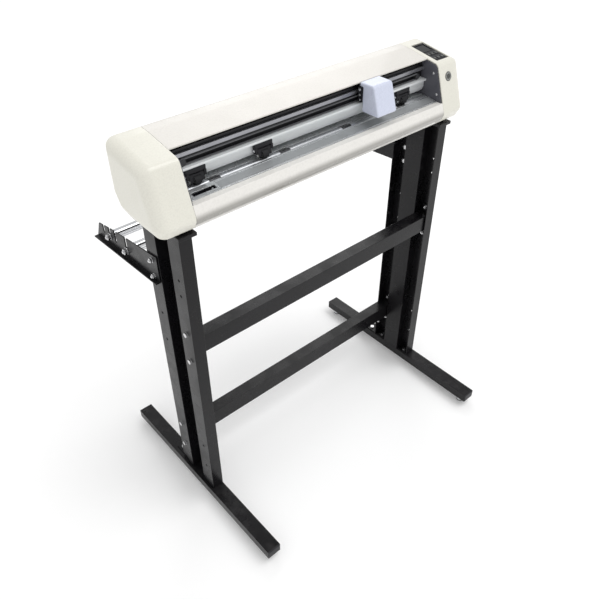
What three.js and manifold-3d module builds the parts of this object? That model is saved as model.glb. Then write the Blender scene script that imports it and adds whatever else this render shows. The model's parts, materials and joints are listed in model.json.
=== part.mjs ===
// Roll cutter on a floor stand: a cutting head with a sliding knife carriage, a grit feed shaft and
// three pinch rollers, carried by two sheet-steel columns with a roll holder behind.
// Millimetres. +Z is up, z = 0 is the floor, +X is the end with the control panel, the front faces -Y.
import * as THREE from "three";
import { mergeVertices } from "three/addons/utils/BufferGeometryUtils.js";
import Module from "manifold-3d";

const wasm = await Module();
wasm.setup();

// ---------------------------------------------------------------- driving sizes
const GAP = 0.3; // air left between two pieces that meet
const RUNNING = 0.08; // radial clearance of a shaft in its bore

const MEDIA_WIDTH = 720; // between the inner faces of the side plates
const HEAD_BASE = 850; // floor to the underside of the head

const FOOT = { width: 38, height: 25, front: -312, rear: 300, wall: 1.6, plug: 10 };
const LEVELLER = { height: 20, radius: 11, stud: 4, inset: 28, thread: 16 };
const COLUMN = { width: 142, depth: 30, sheet: 2.2, groove: 56, beyondMedia: 40, overFoot: 8 };
const COLUMN_PLATE = { thickness: 7.7, width: 158, inner: 38, outer: 4 };
const BOLT_LINE = 49; // front and rear rows of holes, from the column's middle
const BOLTS_ABOVE_FLOOR = [125, 206]; // lower crossbar
const BOLTS_BELOW_HEAD = [344, 263, 157, 116]; // upper crossbar, then the roll arms
const BOLT_HOLE = 3.5;
const CROSSBAR = { depth: 34, height: 46, wall: 1.6, tab: 2.5, tabMargin: 9, rise: 5 };
const ARM = { sheet: 3, lip: 10, slot: 4.2, axleBelowHead: 153 };
// Edges of the roll arms as [y, z from the head's underside]
const ARM_TOP = [[29, -100], [167, -119], [234, -129], [292, -140], [312, -182]];
const ARM_LOW = [[29, -167], [312, -185]];
const SLOTS = [164, 214, 241, 270]; // roll-holder positions behind the columns
const ROLLER = { radius: 12.5, wall: 1.5, hub: 14, end: 4 };
const AXLE = { radius: 4, washer: 8.5, washerThick: 1.6, nut: 7.5, nutThick: 6.8, tail: 3 };

const SHELL = 3; // wall of the moulded casings
const SIDE_PLATE = 2.5;
const CAP = { width: 82, round: 11 };
const PAN = { sheet: 2.5, front: -52, rear: 30, overColumn: 44 };
// Outline of the head in the Y-Z plane, above the underside: [y, z, corner radius]
const HEAD_OUTLINE = [
  [-48, 141, 15],
  [-86, 28, 14],
  [-73, 3.1, 13],
  [22, 3.1, 60],
  [66, 12, 24],
  [89, 50, 30],
  [89, 160.5, 13],
  [55, 158, 30],
];
const COVER_FRONT = -13; // front edge of the top cover
const COVER_BACK_EDGE = 76; // lower edge of the cover's rear wall
const PAN_BACK_EDGE = 61; // upper edge of the pan's rear wall
const APRON = { top: 55, ledge: 15 };

const GRIT = { radius: 7, y: -22, z: 54.9, journal: 4, zone: 28, zones: [-276, -95, 86, 267] };
const PLATEN = { sheet: 2.5, level: 61.5, rear: 84, front: -60.3, lip: 60.5, drop: 5 };
const TROUGH = { side: 0.5, under: 1.9 }; // clearances round the grit shaft
const STRIP = { rear: -34.5, front: -56, depth: 1.3, start: 77 };
const PARK_SLOT = { from: 17, to: 71, front: -51, rear: -40 }; // the knife parks over it, at the left end

const BEAM = { front: -2.7, rear: 38, bottom: 71, top: 135, wall: 4 };
const LEDGE = { front: -20, bottom: 96, top: 101, behindWheel: 3.5, slant: 4, chinHeight: 10 };
const RAIL = { depth: 6, bottom: 120, height: 8 };
const BELT = { y: -9, width: 5, thick: 1.2, z: 109.25, pulley: 5, fromPlate: 25, inFrom: 1.5 };
const MOTOR = { size: 42, length: 38, shaft: 2.5, standOff: 3, corner: 5 };

const CARRIAGE = { x: 162.5, width: 45, front: -24, back: -12.8, bottom: 102, top: 139 };
const COVER = {
  width: 61, wall: 2, rear: -25, back: -14, bottom: 82, overLedge: 3, top: 148, toe: -78, brow: -57, round: 4 };
const TOOL = { y: -46, radius: 5.5, width: 34.4, front: -56, rear: -37, bottom: 80, top: 130, tip: 63 };

const PINCH_CENTRES = { left: -315, middle: -149, right: 275 };
const PINCH = { wheel: 8.5, wheelWidth: 15, width: 46, ear: 5.5, y: -22, lift: GAP * 2, pin: 1.5, link: 4.5 };
const PIVOT = { y: -19, overWheel: 0.2, radius: 2, ear: 5 };

const PANEL = { x: 398.5, y: 9.5, width: 45, length: 86, recess: 2.5, plate: 2.2 };
const KEY = { width: 10, length: 11, pitch: 13, rows: [-9, -29], rise: 1.2, depth: 5.2 };
const DISPLAY = { width: 36, from: 6, to: 38 };
const BUTTON = { x: 394, z: 109, radius: 11, depth: 6, rise: 1 };
const INLET = { y: -14, width: 28, bottom: 28, top: 92, depth: 20, flush: 0.4 };
const ROCKER = { z: 78, half: 9, width: 12.4, tilt: 8, pivot: 7, cavity: 10.4 };

// ---------------------------------------------------------------- sizes that follow
const SIDE_IN = MEDIA_WIDTH / 2;
const SIDE_OUT = SIDE_IN + SIDE_PLATE;
const CAP_IN = SIDE_OUT + 0.5;
const CAP_OUT = CAP_IN + CAP.width;
const COLUMN_OUT = SIDE_IN + COLUMN.beyondMedia;
const COLUMN_IN = COLUMN_OUT - COLUMN.depth;
const COLUMN_TOP = HEAD_BASE - GAP - COLUMN_PLATE.thickness;
const FOOT_TOP = LEVELLER.height + FOOT.height;
const FOOT_X = COLUMN_OUT + COLUMN.overFoot - FOOT.width / 2;
const ARM_IN = COLUMN_OUT + GAP;
const ARM_OUT = ARM_IN + ARM.sheet;
const BOLT_HEIGHTS = [...BOLTS_ABOVE_FLOOR, ...BOLTS_BELOW_HEAD.map((drop) => HEAD_BASE - drop)];
const AXLE_HEIGHT = HEAD_BASE - ARM.axleBelowHead;
const steepness = ([y0, z0], [y1, z1]) => Math.atan2(z1 - z0, y1 - y0);
const TOP_SLOPE = steepness(HEAD_OUTLINE[0], HEAD_OUTLINE[7]);
const FRONT_SLOPE = steepness(HEAD_OUTLINE[1], HEAD_OUTLINE[0]);
const TROUGH_HALF = GRIT.radius + TROUGH.side;
const TROUGH_FLOOR = GRIT.z - GRIT.radius - TROUGH.under;
const WHEEL_Z = GRIT.z + GRIT.radius + PINCH.lift + PINCH.wheel;
const PIVOT_Z = WHEEL_Z + PINCH.wheel + PIVOT.overWheel + PIVOT.radius;
const CHIN = PINCH.y + PINCH.wheel + LEDGE.behindWheel;
const BEAM_FACE = CHIN - LEDGE.slant;
const PULLEY_X = SIDE_IN - BELT.fromPlate;
const GRIT_PULLEY = { radius: 18, from: CAP_IN + 3, width: 8 };
const FEED_MOTOR = { y: 32, z: 62, pulley: 7 };
const SIDES = { left: -1, right: 1 };

const FINISHES = {
  cream: { color: 0xf0ede2, roughness: 0.38, metalness: 0 },
  black: { color: 0x24242a, roughness: 0.5, metalness: 0.2 },
  steel: { color: 0x55565f, roughness: 0.45, metalness: 0.6 },
  aluminium: { color: 0x9a9ea2, roughness: 0.35, metalness: 0.8 },
  chrome: { color: 0xc8cbd0, roughness: 0.18, metalness: 1 },
  rubber: { color: 0x17181b, roughness: 0.8, metalness: 0 },
  plastic: { color: 0x1c1d22, roughness: 0.5, metalness: 0 },
  lilac: { color: 0xd9deec, roughness: 0.35, metalness: 0 },
  grey: { color: 0x6f726c, roughness: 0.5, metalness: 0 },
  board: { color: 0x1f5138, roughness: 0.6, metalness: 0 },
};

// ---------------------------------------------------------------- geometry helpers
const AXES = {
  x: new THREE.Matrix4().makeBasis(
    new THREE.Vector3(0, 1, 0), new THREE.Vector3(0, 0, 1), new THREE.Vector3(1, 0, 0)),
  y: new THREE.Matrix4().makeBasis(
    new THREE.Vector3(0, 0, 1), new THREE.Vector3(1, 0, 0), new THREE.Vector3(0, 1, 0)),
  z: new THREE.Matrix4(),
};

/** A closed three.js geometry as a solid that can be joined and cut. */
function solid(geometry) {
  const bare = geometry.index ? geometry.toNonIndexed() : geometry.clone();
  bare.deleteAttribute("normal");
  bare.deleteAttribute("uv");
  const merged = mergeVertices(bare, 1e-3);
  const vertProperties = new Float32Array(merged.attributes.position.array);
  const triVerts = new Uint32Array(merged.index.array);
  return new wasm.Manifold(new wasm.Mesh({ numProp: 3, vertProperties, triVerts }));
}

function block(x0, x1, y0, y1, z0, z1) {
  const box = new THREE.BoxGeometry(x1 - x0, y1 - y0, z1 - z0);
  return solid(box.translate((x0 + x1) / 2, (y0 + y1) / 2, (z0 + z1) / 2));
}

/** A prism of the outline along an axis; x takes (y, z) points, y takes (z, x) points, z takes (x, y). */
function prism(axis, points, from, to, round = 0) {
  const shape = new THREE.Shape(points.map(([u, v]) => new THREE.Vector2(u, v)));
  const settings = { depth: to - from - 2 * round, bevelEnabled: round > 0, bevelSegments: 3 };
  Object.assign(settings, { bevelThickness: round, bevelSize: round, bevelOffset: -round });
  const geometry = new THREE.ExtrudeGeometry(shape, settings).translate(0, 0, from + round);
  return solid(geometry.applyMatrix4(AXES[axis]));
}

/** A cylinder along an axis; its centre is (y, z), (z, x) or (x, y). */
function rod(axis, radius, from, to, [u, v], sides = 16) {
  const cylinder = new THREE.CylinderGeometry(radius, radius, to - from, sides);
  cylinder.rotateX(Math.PI / 2).translate(u, v, (from + to) / 2);
  return solid(cylinder.applyMatrix4(AXES[axis]));
}

/** Radius of a round hole whose facets clear a shaft of a radius as it turns. */
const boreFor = (radius) => (radius + RUNNING) / Math.cos(Math.PI / 16);

/** Points of an outline whose corners are [u, v, radius]; each round corner becomes an arc. */
function rounded(corners, steps = 4) {
  return corners.flatMap(([u, v, radius = 0], i) => {
    if (!radius) return [[u, v]];
    const corner = new THREE.Vector2(u, v);
    const [before, after] = [corners.at(i - 1), corners[(i + 1) % corners.length]]
      .map(([a, b]) => new THREE.Vector2(a, b).sub(corner).normalize());
    const half = Math.acos(THREE.MathUtils.clamp(before.dot(after), -1, 1)) / 2;
    const bisector = before.clone().add(after).normalize();
    const centre = corner.clone().addScaledVector(bisector, radius / Math.sin(half));
    const turn = Math.sign(before.cross(after));
    const first = bisector.angle() + Math.PI + turn * (Math.PI / 2 - half);
    return Array.from({ length: steps + 1 }, (_, k) => {
      const angle = first - turn * (Math.PI - 2 * half) * (k / steps);
      return [centre.x + radius * Math.cos(angle), centre.y + radius * Math.sin(angle)];
    });
  });
}

/** The outline moved inwards by a distance. */
function inset(points, distance) {
  const clockwise = THREE.ShapeUtils.isClockWise(points.map(([x, y]) => new THREE.Vector2(x, y)));
  const side = clockwise ? -distance : distance;
  const normal = ([ax, ay], [bx, by]) => {
    const length = Math.hypot(bx - ax, by - ay);
    return [(ay - by) / length, (bx - ax) / length];
  };
  return points.map((point, i) => {
    const [a, b] = normal(points.at(i - 1), point);
    const [c, d] = normal(point, points[(i + 1) % points.length]);
    const scale = side / (1 + a * c + b * d);
    return [point[0] + (a + c) * scale, point[1] + (b + d) * scale];
  });
}

/** Outline of a bent sheet: the path's left side is offset by the thickness. */
function sheet(path, thickness) {
  const normals = path.slice(1).map(([bx, by], i) => {
    const [ax, ay] = path[i];
    const length = Math.hypot(bx - ax, by - ay);
    return [(ay - by) / length, (bx - ax) / length];
  });
  const back = path.map(([x, y], i) => {
    const [a, b] = normals[Math.max(i - 1, 0)];
    const [c, d] = normals[Math.min(i, normals.length - 1)];
    const scale = thickness / (1 + a * c + b * d);
    return [x + (a + c) * scale, y + (b + d) * scale];
  });
  return [...path, ...back.reverse()];
}

/** Outline round two circles, as a belt runs: each circle is [u, v, radius]. */
function loop([au, av, ar], [bu, bv, br], steps = 12) {
  const facing = Math.atan2(bv - av, bu - au);
  const open = Math.acos((ar - br) / Math.hypot(bu - au, bv - av));
  const arc = (u, v, r, from, to) => Array.from({ length: steps + 1 }, (_, k) => {
    const angle = from + (to - from) * (k / steps);
    return [u + r * Math.cos(angle), v + r * Math.sin(angle)];
  });
  return [
    ...arc(au, av, ar, facing + open, facing + 2 * Math.PI - open),
    ...arc(bu, bv, br, facing - open, facing + open),
  ];
}

/** A belt of rectangular section round two pulleys. */
function belt(axis, first, second, thickness, from, to) {
  const grown = (extra) => [first, second].map(([u, v, r]) => [u, v, r + GAP + extra]);
  const inside = prism(axis, loop(...grown(0)), from - 1, to + 1);
  return prism(axis, loop(...grown(thickness)), from, to).subtract(inside);
}

/** Moves a solid by a matrix, for cuts that are laid out on a sloping face. */
function placed(piece, matrix) {
  return solid(geometryOf(piece).applyMatrix4(matrix));
}

function geometryOf(piece) {
  const { vertProperties, triVerts } = piece.getMesh();
  const geometry = new THREE.BufferGeometry();
  geometry.setAttribute("position", new THREE.BufferAttribute(new Float32Array(vertProperties), 3));
  geometry.setIndex(new THREE.BufferAttribute(new Uint32Array(triVerts), 1));
  geometry.computeVertexNormals();
  return geometry;
}

function add(group, name, piece, finish) {
  const mesh = new THREE.Mesh(geometryOf(piece), new THREE.MeshStandardMaterial(FINISHES[finish]));
  mesh.name = name;
  group.add(mesh);
}

const sum = (pieces) => pieces.reduce((whole, piece) => whole.add(piece));
const cut = (piece, tools) => tools.reduce((whole, tool) => whole.subtract(tool), piece);
/** A block given from the machine's middle outwards on one side. */
const sideBlock = (side, inner, outer, ...rest) =>
  block(Math.min(side * inner, side * outer), Math.max(side * inner, side * outer), ...rest);
const sidePrism = (side, points, inner, outer, round) =>
  prism("x", points, Math.min(side * inner, side * outer), Math.max(side * inner, side * outer), round);
const sideRod = (side, radius, inner, outer, centre, sides) =>
  rod("x", radius, Math.min(side * inner, side * outer), Math.max(side * inner, side * outer), centre, sides);

// ---------------------------------------------------------------- stand
function addFeet(group) {
  const studs = [FOOT.front + LEVELLER.inset, FOOT.rear - LEVELLER.inset];
  for (const [name, side] of Object.entries(SIDES)) {
    const x = side * FOOT_X;
    const half = FOOT.width / 2;
    const tube = block(x - half, x + half, FOOT.front, FOOT.rear, LEVELLER.height, FOOT_TOP);
    const hollow = block(
      x - half + FOOT.wall, x + half - FOOT.wall,
      FOOT.front + FOOT.plug, FOOT.rear - FOOT.plug,
      LEVELLER.height + FOOT.wall, FOOT_TOP - FOOT.wall);
    const holes = studs.map((y) =>
      rod("z", boreFor(LEVELLER.stud), LEVELLER.height - 1, LEVELLER.height + FOOT.height / 2, [x, y]));
    add(group, `${name}_foot`, cut(tube, [hollow, ...holes]), "black");
    studs.forEach((y, i) => addLeveller(group, `${name}_${i ? "rear" : "front"}_leveller`, x, y));
  }
}

function addLeveller(group, name, x, y) {
  const { radius, stud, height, thread } = LEVELLER;
  const profile = [
    [0, 0], [radius - 1, 0], [radius, 1], [radius, 5], [radius * 0.93, 8], [radius * 0.8, 12],
    [radius * 0.6, 16], [stud, height - GAP * 2], [stud, height + thread], [0, height + thread],
  ];
  const turned = new THREE.LatheGeometry(profile.map(([r, z]) => new THREE.Vector2(r, z)), 16);
  add(group, name, solid(turned.rotateX(Math.PI / 2).translate(x, y, 0)), "chrome");
}

function addColumns(group) {
  const half = COLUMN.width / 2;
  const groove = COLUMN.groove / 2;
  const t = COLUMN.sheet;
  const bottom = FOOT_TOP + GAP;
  const top = HEAD_BASE - GAP;
  for (const [name, side] of Object.entries(SIDES)) {
    const strips = [-1, 1].flatMap((end) => {
      const [y0, y1] = end > 0 ? [groove - t, half] : [-half, t - groove];
      const flange = end > 0 ? [half - t, half] : [-half, t - half];
      const web = end > 0 ? [groove - t, groove] : [-groove, t - groove];
      return [
        sideBlock(side, COLUMN_OUT - t, COLUMN_OUT, y0, y1, bottom, COLUMN_TOP + 1),
        sideBlock(side, COLUMN_IN, COLUMN_OUT, ...flange, bottom, COLUMN_TOP + 1),
        sideBlock(side, COLUMN_IN, COLUMN_OUT, ...web, bottom, COLUMN_TOP + 1),
      ];
    });
    const floor = sideBlock(side, COLUMN_IN, COLUMN_IN + t, -groove, groove, bottom, COLUMN_TOP + 1);
    const plate = sideBlock(
      side, COLUMN_OUT - COLUMN_PLATE.inner, COLUMN_OUT + COLUMN_PLATE.outer,
      -COLUMN_PLATE.width / 2, COLUMN_PLATE.width / 2, COLUMN_TOP, top);
    const holes = BOLT_HEIGHTS.flatMap((z) => [-BOLT_LINE, BOLT_LINE].map((y) =>
      sideRod(side, BOLT_HOLE, COLUMN_OUT - t - 2, COLUMN_OUT + 2, [y, z], 8)));
    add(group, `${name}_column`, cut(sum([...strips, floor, plate]), holes), "black");
  }
}

function addCrossbars(group) {
  const bars = { upper_crossbar: [-BOLT_LINE, 2], lower_crossbar: [BOLT_LINE, 0] };
  const end = COLUMN_OUT - COLUMN.sheet - GAP;
  for (const [name, [y, firstBolt]] of Object.entries(bars)) {
    const bolts = BOLT_HEIGHTS.slice(firstBolt, firstBolt + 2);
    const middle = (bolts[0] + bolts[1]) / 2 + CROSSBAR.rise;
    const [y0, y1] = [y - CROSSBAR.depth / 2, y + CROSSBAR.depth / 2];
    const [z0, z1] = [middle - CROSSBAR.height / 2, middle + CROSSBAR.height / 2];
    const w = CROSSBAR.wall;
    const tube = block(-end, end, y0, y1, z0, z1);
    const hollow = block(-end - 1, end + 1, y0 + w, y1 - w, z0 + w, z1 - w);
    const [low, high] = [bolts[0] - CROSSBAR.tabMargin, bolts[1] + CROSSBAR.tabMargin];
    const tabs = Object.values(SIDES).map((side) =>
      sideBlock(side, end - CROSSBAR.tab, end, y0, y1, low, high));
    const holes = Object.values(SIDES).flatMap((side) =>
      bolts.map((z) => sideRod(side, BOLT_HOLE, end - CROSSBAR.tab - 1, end + 1, [y, z], 8)));
    add(group, name, cut(sum([tube, ...tabs]), [hollow, ...holes]), "black");
  }
}

function addRollArms(group) {
  const raised = (points, extra = 0) => points.map(([y, z]) => [y, HEAD_BASE + z + extra]);
  const plate = [...raised(ARM_LOW), ...raised(ARM_TOP).reverse()];
  const lip = [...raised(ARM_LOW), ...raised(ARM_LOW, ARM.sheet).reverse()];
  const mouth = HEAD_BASE + ARM_TOP[0][1] + 1;
  for (const [name, side] of Object.entries(SIDES)) {
    const web = sidePrism(side, plate, ARM_IN, ARM_OUT);
    const sheetMetal = web.add(sidePrism(side, lip, ARM_IN, ARM_OUT + ARM.lip));
    const slots = SLOTS.flatMap((y) => [
      sideRod(side, ARM.slot, ARM_IN - 1, ARM_OUT + 1, [y, AXLE_HEIGHT]),
      sideBlock(side, ARM_IN - 1, ARM_OUT + 1, y - ARM.slot, y + ARM.slot, AXLE_HEIGHT, mouth),
    ]);
    const holes = BOLT_HEIGHTS.slice(4).map((z) =>
      sideRod(side, BOLT_HOLE, ARM_IN - 1, ARM_OUT + 1, [BOLT_LINE, z], 8));
    add(group, `${name}_roll_arm`, cut(sheetMetal, [...slots, ...holes]), "black");
  }
}

function addRollers(group) {
  const end = COLUMN_OUT - ROLLER.end;
  const rollers = { front: SLOTS[0], rear: SLOTS[2] };
  for (const [name, y] of Object.entries(rollers)) {
    const centre = [y, AXLE_HEIGHT];
    const tube = cut(rod("x", ROLLER.radius, -end, end, centre), [
      rod("x", ROLLER.radius - ROLLER.wall, ROLLER.hub - end, end - ROLLER.hub, centre),
      rod("x", boreFor(AXLE.radius), -end - 1, end + 1, centre),
    ]);
    add(group, `${name}_roller`, tube, "chrome");
    const washer = ARM_OUT + GAP;
    const nut = washer + AXLE.washerThick;
    const tail = nut + AXLE.nutThick + AXLE.tail;
    const hardware = Object.values(SIDES).flatMap((side) => [
      sideRod(side, AXLE.washer, end + GAP, ARM_IN - GAP, centre),
      sideRod(side, AXLE.washer, washer, nut, centre),
      sideRod(side, AXLE.nut, nut, nut + AXLE.nutThick, centre, 6),
    ]);
    add(group, `${name}_axle`, sum([rod("x", AXLE.radius, -tail, tail, centre), ...hardware]), "chrome");
  }
}

// ---------------------------------------------------------------- casing of the head
const headPoints = rounded(HEAD_OUTLINE);

/** The part of the head's outer wall that lies in a Y-Z window, along the machine. */
function wallBetween(y0, y1, z0, z1) {
  const reach = SIDE_OUT + 0.1;
  const ring = prism("x", headPoints, -reach, reach)
    .subtract(prism("x", inset(headPoints, SHELL), -reach - 1, reach + 1));
  return ring.intersect(block(-reach, reach, y0, y1, z0, z1));
}

function addChassis(group) {
  const reach = COLUMN_OUT - COLUMN_PLATE.inner + PAN.overColumn;
  const inside = SIDE_IN - GAP;
  const floor = block(-reach, reach, PAN.front, PAN.rear, GAP, GAP + PAN.sheet);
  const step = block(-inside, inside, PAN.rear - 20, PAN.rear, GAP, HEAD_OUTLINE[2][1] + SHELL);
  const rearWall = wallBetween(PAN.rear - 8, HEAD_OUTLINE[6][0] + 1, GAP, PAN_BACK_EDGE);
  add(group, "chassis_pan", sum([floor, step, rearWall]), "black");

  const plate = inset(headPoints, SHELL + 0.5);
  for (const [name, side] of Object.entries(SIDES)) {
    const foot = sideBlock(side, SIDE_IN, SIDE_OUT, -40, 20, HEAD_OUTLINE[2][1], HEAD_OUTLINE[2][1] + 8);
    const journal = sideRod(side, boreFor(GRIT.journal), SIDE_IN - 1, SIDE_OUT + 1, [GRIT.y, GRIT.z]);
    const whole = sidePrism(side, plate, SIDE_IN, SIDE_OUT).add(foot);
    add(group, `${name}_side_plate`, whole.subtract(journal), "steel");
  }
}

/** Frame on the sloping top of the right cap: its z axis stands square to the surface. */
function panelFrame() {
  const [y, z] = HEAD_OUTLINE[0];
  const height = z + (PANEL.y - y) * Math.tan(TOP_SLOPE);
  return new THREE.Matrix4().makeTranslation(PANEL.x + SIDE_IN - 360, PANEL.y, height)
    .multiply(new THREE.Matrix4().makeRotationX(TOP_SLOPE));
}

/** Frame on the right cap's front face, for the round button. */
function buttonFrame() {
  const [y, z] = HEAD_OUTLINE[0];
  const depth = y - (z - BUTTON.z) / Math.tan(FRONT_SLOPE);
  return new THREE.Matrix4().makeTranslation(BUTTON.x + SIDE_IN - 360, depth, BUTTON.z)
    .multiply(new THREE.Matrix4().makeRotationX(FRONT_SLOPE));
}

function addEndCaps(group) {
  const hollow = inset(headPoints, SHELL);
  for (const [name, side] of Object.entries(SIDES)) {
    const outer = sidePrism(side, headPoints, CAP_IN - 2 * CAP.round, CAP_OUT, CAP.round);
    const inner = sidePrism(side, hollow, CAP_IN - 2 * CAP.round, CAP_OUT - SHELL, CAP.round - SHELL);
    const keep = sideBlock(side, CAP_IN, CAP_OUT + 1, -200, 200, -10, 300);
    const shell = outer.subtract(inner).intersect(keep);
    const [panelHalf, panelReach] = [PANEL.width / 2, PANEL.length / 2];
    const inletHalf = INLET.width / 2;
    const openings = side < 0 ? [] : [
      placed(block(-panelHalf, panelHalf, -panelReach, panelReach, -8, 8), panelFrame()),
      placed(rod("z", BUTTON.radius + GAP, -9, 9, [0, 0], 32), buttonFrame()),
      block(CAP_OUT - 9, CAP_OUT + 1, INLET.y - inletHalf, INLET.y + inletHalf, INLET.bottom, INLET.top),
    ];
    add(group, `${name}_end_cap`, cut(shell, openings), "cream");
  }
  add(group, "top_cover", wallBetween(COVER_FRONT, HEAD_OUTLINE[6][0] + 1, COVER_BACK_EDGE, 200), "cream");
  const edge = PLATEN.front - GAP;
  const ledge = block(-SIDE_IN + GAP, SIDE_IN - GAP, edge - APRON.ledge, edge, APRON.top - SHELL, APRON.top);
  const apron = wallBetween(HEAD_OUTLINE[1][0] - 1, PAN.front - 8, 0, APRON.top);
  add(group, "front_apron", apron.add(ledge), "cream");
}

// ---------------------------------------------------------------- paper path
/** Height of the platen's front slope at a depth. */
const slope = (y) => {
  const start = GRIT.y - TROUGH_HALF;
  return PLATEN.lip - (PLATEN.drop * (start - y)) / (start - PLATEN.front);
};

function addPlaten(group) {
  const end = SIDE_IN - GAP;
  const [near, far] = [GRIT.y - TROUGH_HALF, GRIT.y + TROUGH_HALF];
  const low = TROUGH_FLOOR;
  const path = [
    [PLATEN.rear, PLATEN.level], [far, PLATEN.level], [far, low], [near, low], [near, slope(near)],
    [PLATEN.front, slope(PLATEN.front)]];
  const band = (extra, up, down) => [
    [STRIP.front - extra, slope(STRIP.front) + up], [STRIP.rear + extra, slope(STRIP.rear) + up],
    [STRIP.rear + extra, slope(STRIP.rear) - down], [STRIP.front - extra, slope(STRIP.front) - down]];
  const start = STRIP.start - SIDE_IN;
  const slot = block(
    PARK_SLOT.from - SIDE_IN, PARK_SLOT.to - SIDE_IN, PARK_SLOT.front, PARK_SLOT.rear, low, PLATEN.level);
  const plate = cut(prism("x", sheet(path, PLATEN.sheet), -end, end), [
    prism("x", band(0, 2, STRIP.depth), start, end + 1), slot]);
  add(group, "platen", plate, "aluminium");
  const strip = prism("x", band(-GAP, -0.05, STRIP.depth - GAP), start + GAP, end - GAP);
  add(group, "cutting_strip", strip, "aluminium");
}

function addFeedDrive(group) {
  const centre = [GRIT.y, GRIT.z];
  const core = rod("x", GRIT.radius - 0.2, -SIDE_IN + GAP * 2, SIDE_IN - GAP * 2, centre);
  const zones = GRIT.zones.map((x) => rod("x", GRIT.radius, x - GRIT.zone / 2, x + GRIT.zone / 2, centre));
  const { from, width, radius } = GRIT_PULLEY;
  const journals = [
    rod("x", GRIT.journal, -SIDE_OUT, -SIDE_IN + 1, centre),
    rod("x", GRIT.journal, SIDE_IN - 1, from + width + 3, centre),
    rod("x", radius, from, from + width, centre, 24),
  ];
  add(group, "grit_shaft", sum([core, ...zones, ...journals]), "aluminium");

  const motorCentre = [FEED_MOTOR.y, FEED_MOTOR.z];
  const face = from + width + MOTOR.standOff;
  const pulley = rod("x", FEED_MOTOR.pulley, from, from + width, motorCentre)
    .add(rod("x", MOTOR.shaft, from + width - 1, face - GAP, motorCentre, 16));
  add(group, "feed_pulley", pulley, "aluminium");
  const circles = [[...centre, radius], [...motorCentre, FEED_MOTOR.pulley]];
  const feedBelt = belt("x", ...circles, BELT.thick, from + BELT.inFrom, from + width - BELT.inFrom);
  add(group, "feed_belt", feedBelt, "rubber");
  add(group, "feed_motor", motor("x", motorCentre, face), "plastic");
}

/** A square stepping motor with cut corners, behind a face square to its axis. */
function motor(axis, [u, v], face) {
  const half = MOTOR.size / 2;
  const flat = half - MOTOR.corner;
  const outline = [
    [u - flat, v - half], [u + flat, v - half], [u + half, v - flat], [u + half, v + flat],
    [u + flat, v + half], [u - flat, v + half], [u - half, v + flat], [u - half, v - flat]];
  return prism(axis, outline, face, face + MOTOR.length);
}

// ---------------------------------------------------------------- beam, belt and carriage
function addBeam(group) {
  const end = SIDE_IN - GAP;
  const { front, rear, bottom, top, wall } = BEAM;
  const outside = [
    [CHIN, bottom], [BEAM_FACE, bottom + LEDGE.chinHeight], [BEAM_FACE, LEDGE.bottom],
    [LEDGE.front, LEDGE.bottom], [LEDGE.front, LEDGE.top], [front, LEDGE.top], [front, top], [rear, top],
    [rear, bottom]];
  const inside = [
    [CHIN + wall, bottom + wall], [BEAM_FACE + wall, bottom + LEDGE.chinHeight],
    [BEAM_FACE + wall, LEDGE.bottom - wall], [front + wall, LEDGE.bottom - wall], [front + wall, top - wall],
    [rear - wall, top - wall], [rear - wall, bottom + wall]];
  const shaftHoles = [-PULLEY_X, PULLEY_X].map((x) =>
    rod("y", boreFor(MOTOR.shaft), front - 1, rear + 1, [BELT.z, x], 20));
  const beam = prism("x", outside, -end, end).subtract(prism("x", inside, -end - 1, end + 1));
  add(group, "cross_beam", cut(beam, shaftHoles), "aluminium");

  const railBack = front - GAP;
  const rail = block(-end, end, railBack - RAIL.depth, railBack, RAIL.bottom, RAIL.bottom + RAIL.height);
  add(group, "guide_rail", rail, "chrome");
}

function addCarriageDrive(group) {
  const { y, width, z, pulley } = BELT;
  const pulleys = { idler_pulley: -PULLEY_X, drive_pulley: PULLEY_X };
  const motorFace = BEAM.rear + MOTOR.standOff;
  const circle = (x) => [z, x, pulley];
  const loopBelt = belt("y", circle(-PULLEY_X), circle(PULLEY_X), BELT.thick, y - width / 2, y + width / 2);
  add(group, "drive_belt", loopBelt, "rubber");
  for (const [name, x] of Object.entries(pulleys)) {
    const reach = name === "drive_pulley" ? motorFace - GAP : BEAM.rear + 2;
    const drum = rod("y", pulley, y - width / 2 - GAP, y + width / 2 + GAP, [z, x]);
    const flange = rod("y", pulley + 2, y - width / 2 - GAP - 0.8, y - width / 2 - GAP, [z, x]);
    const shaft = rod("y", MOTOR.shaft, y, reach, [z, x], 20);
    add(group, name, sum([drum, flange, shaft]), "aluminium");
  }
  add(group, "carriage_motor", motor("y", [z, PULLEY_X], motorFace), "plastic");
}

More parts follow.
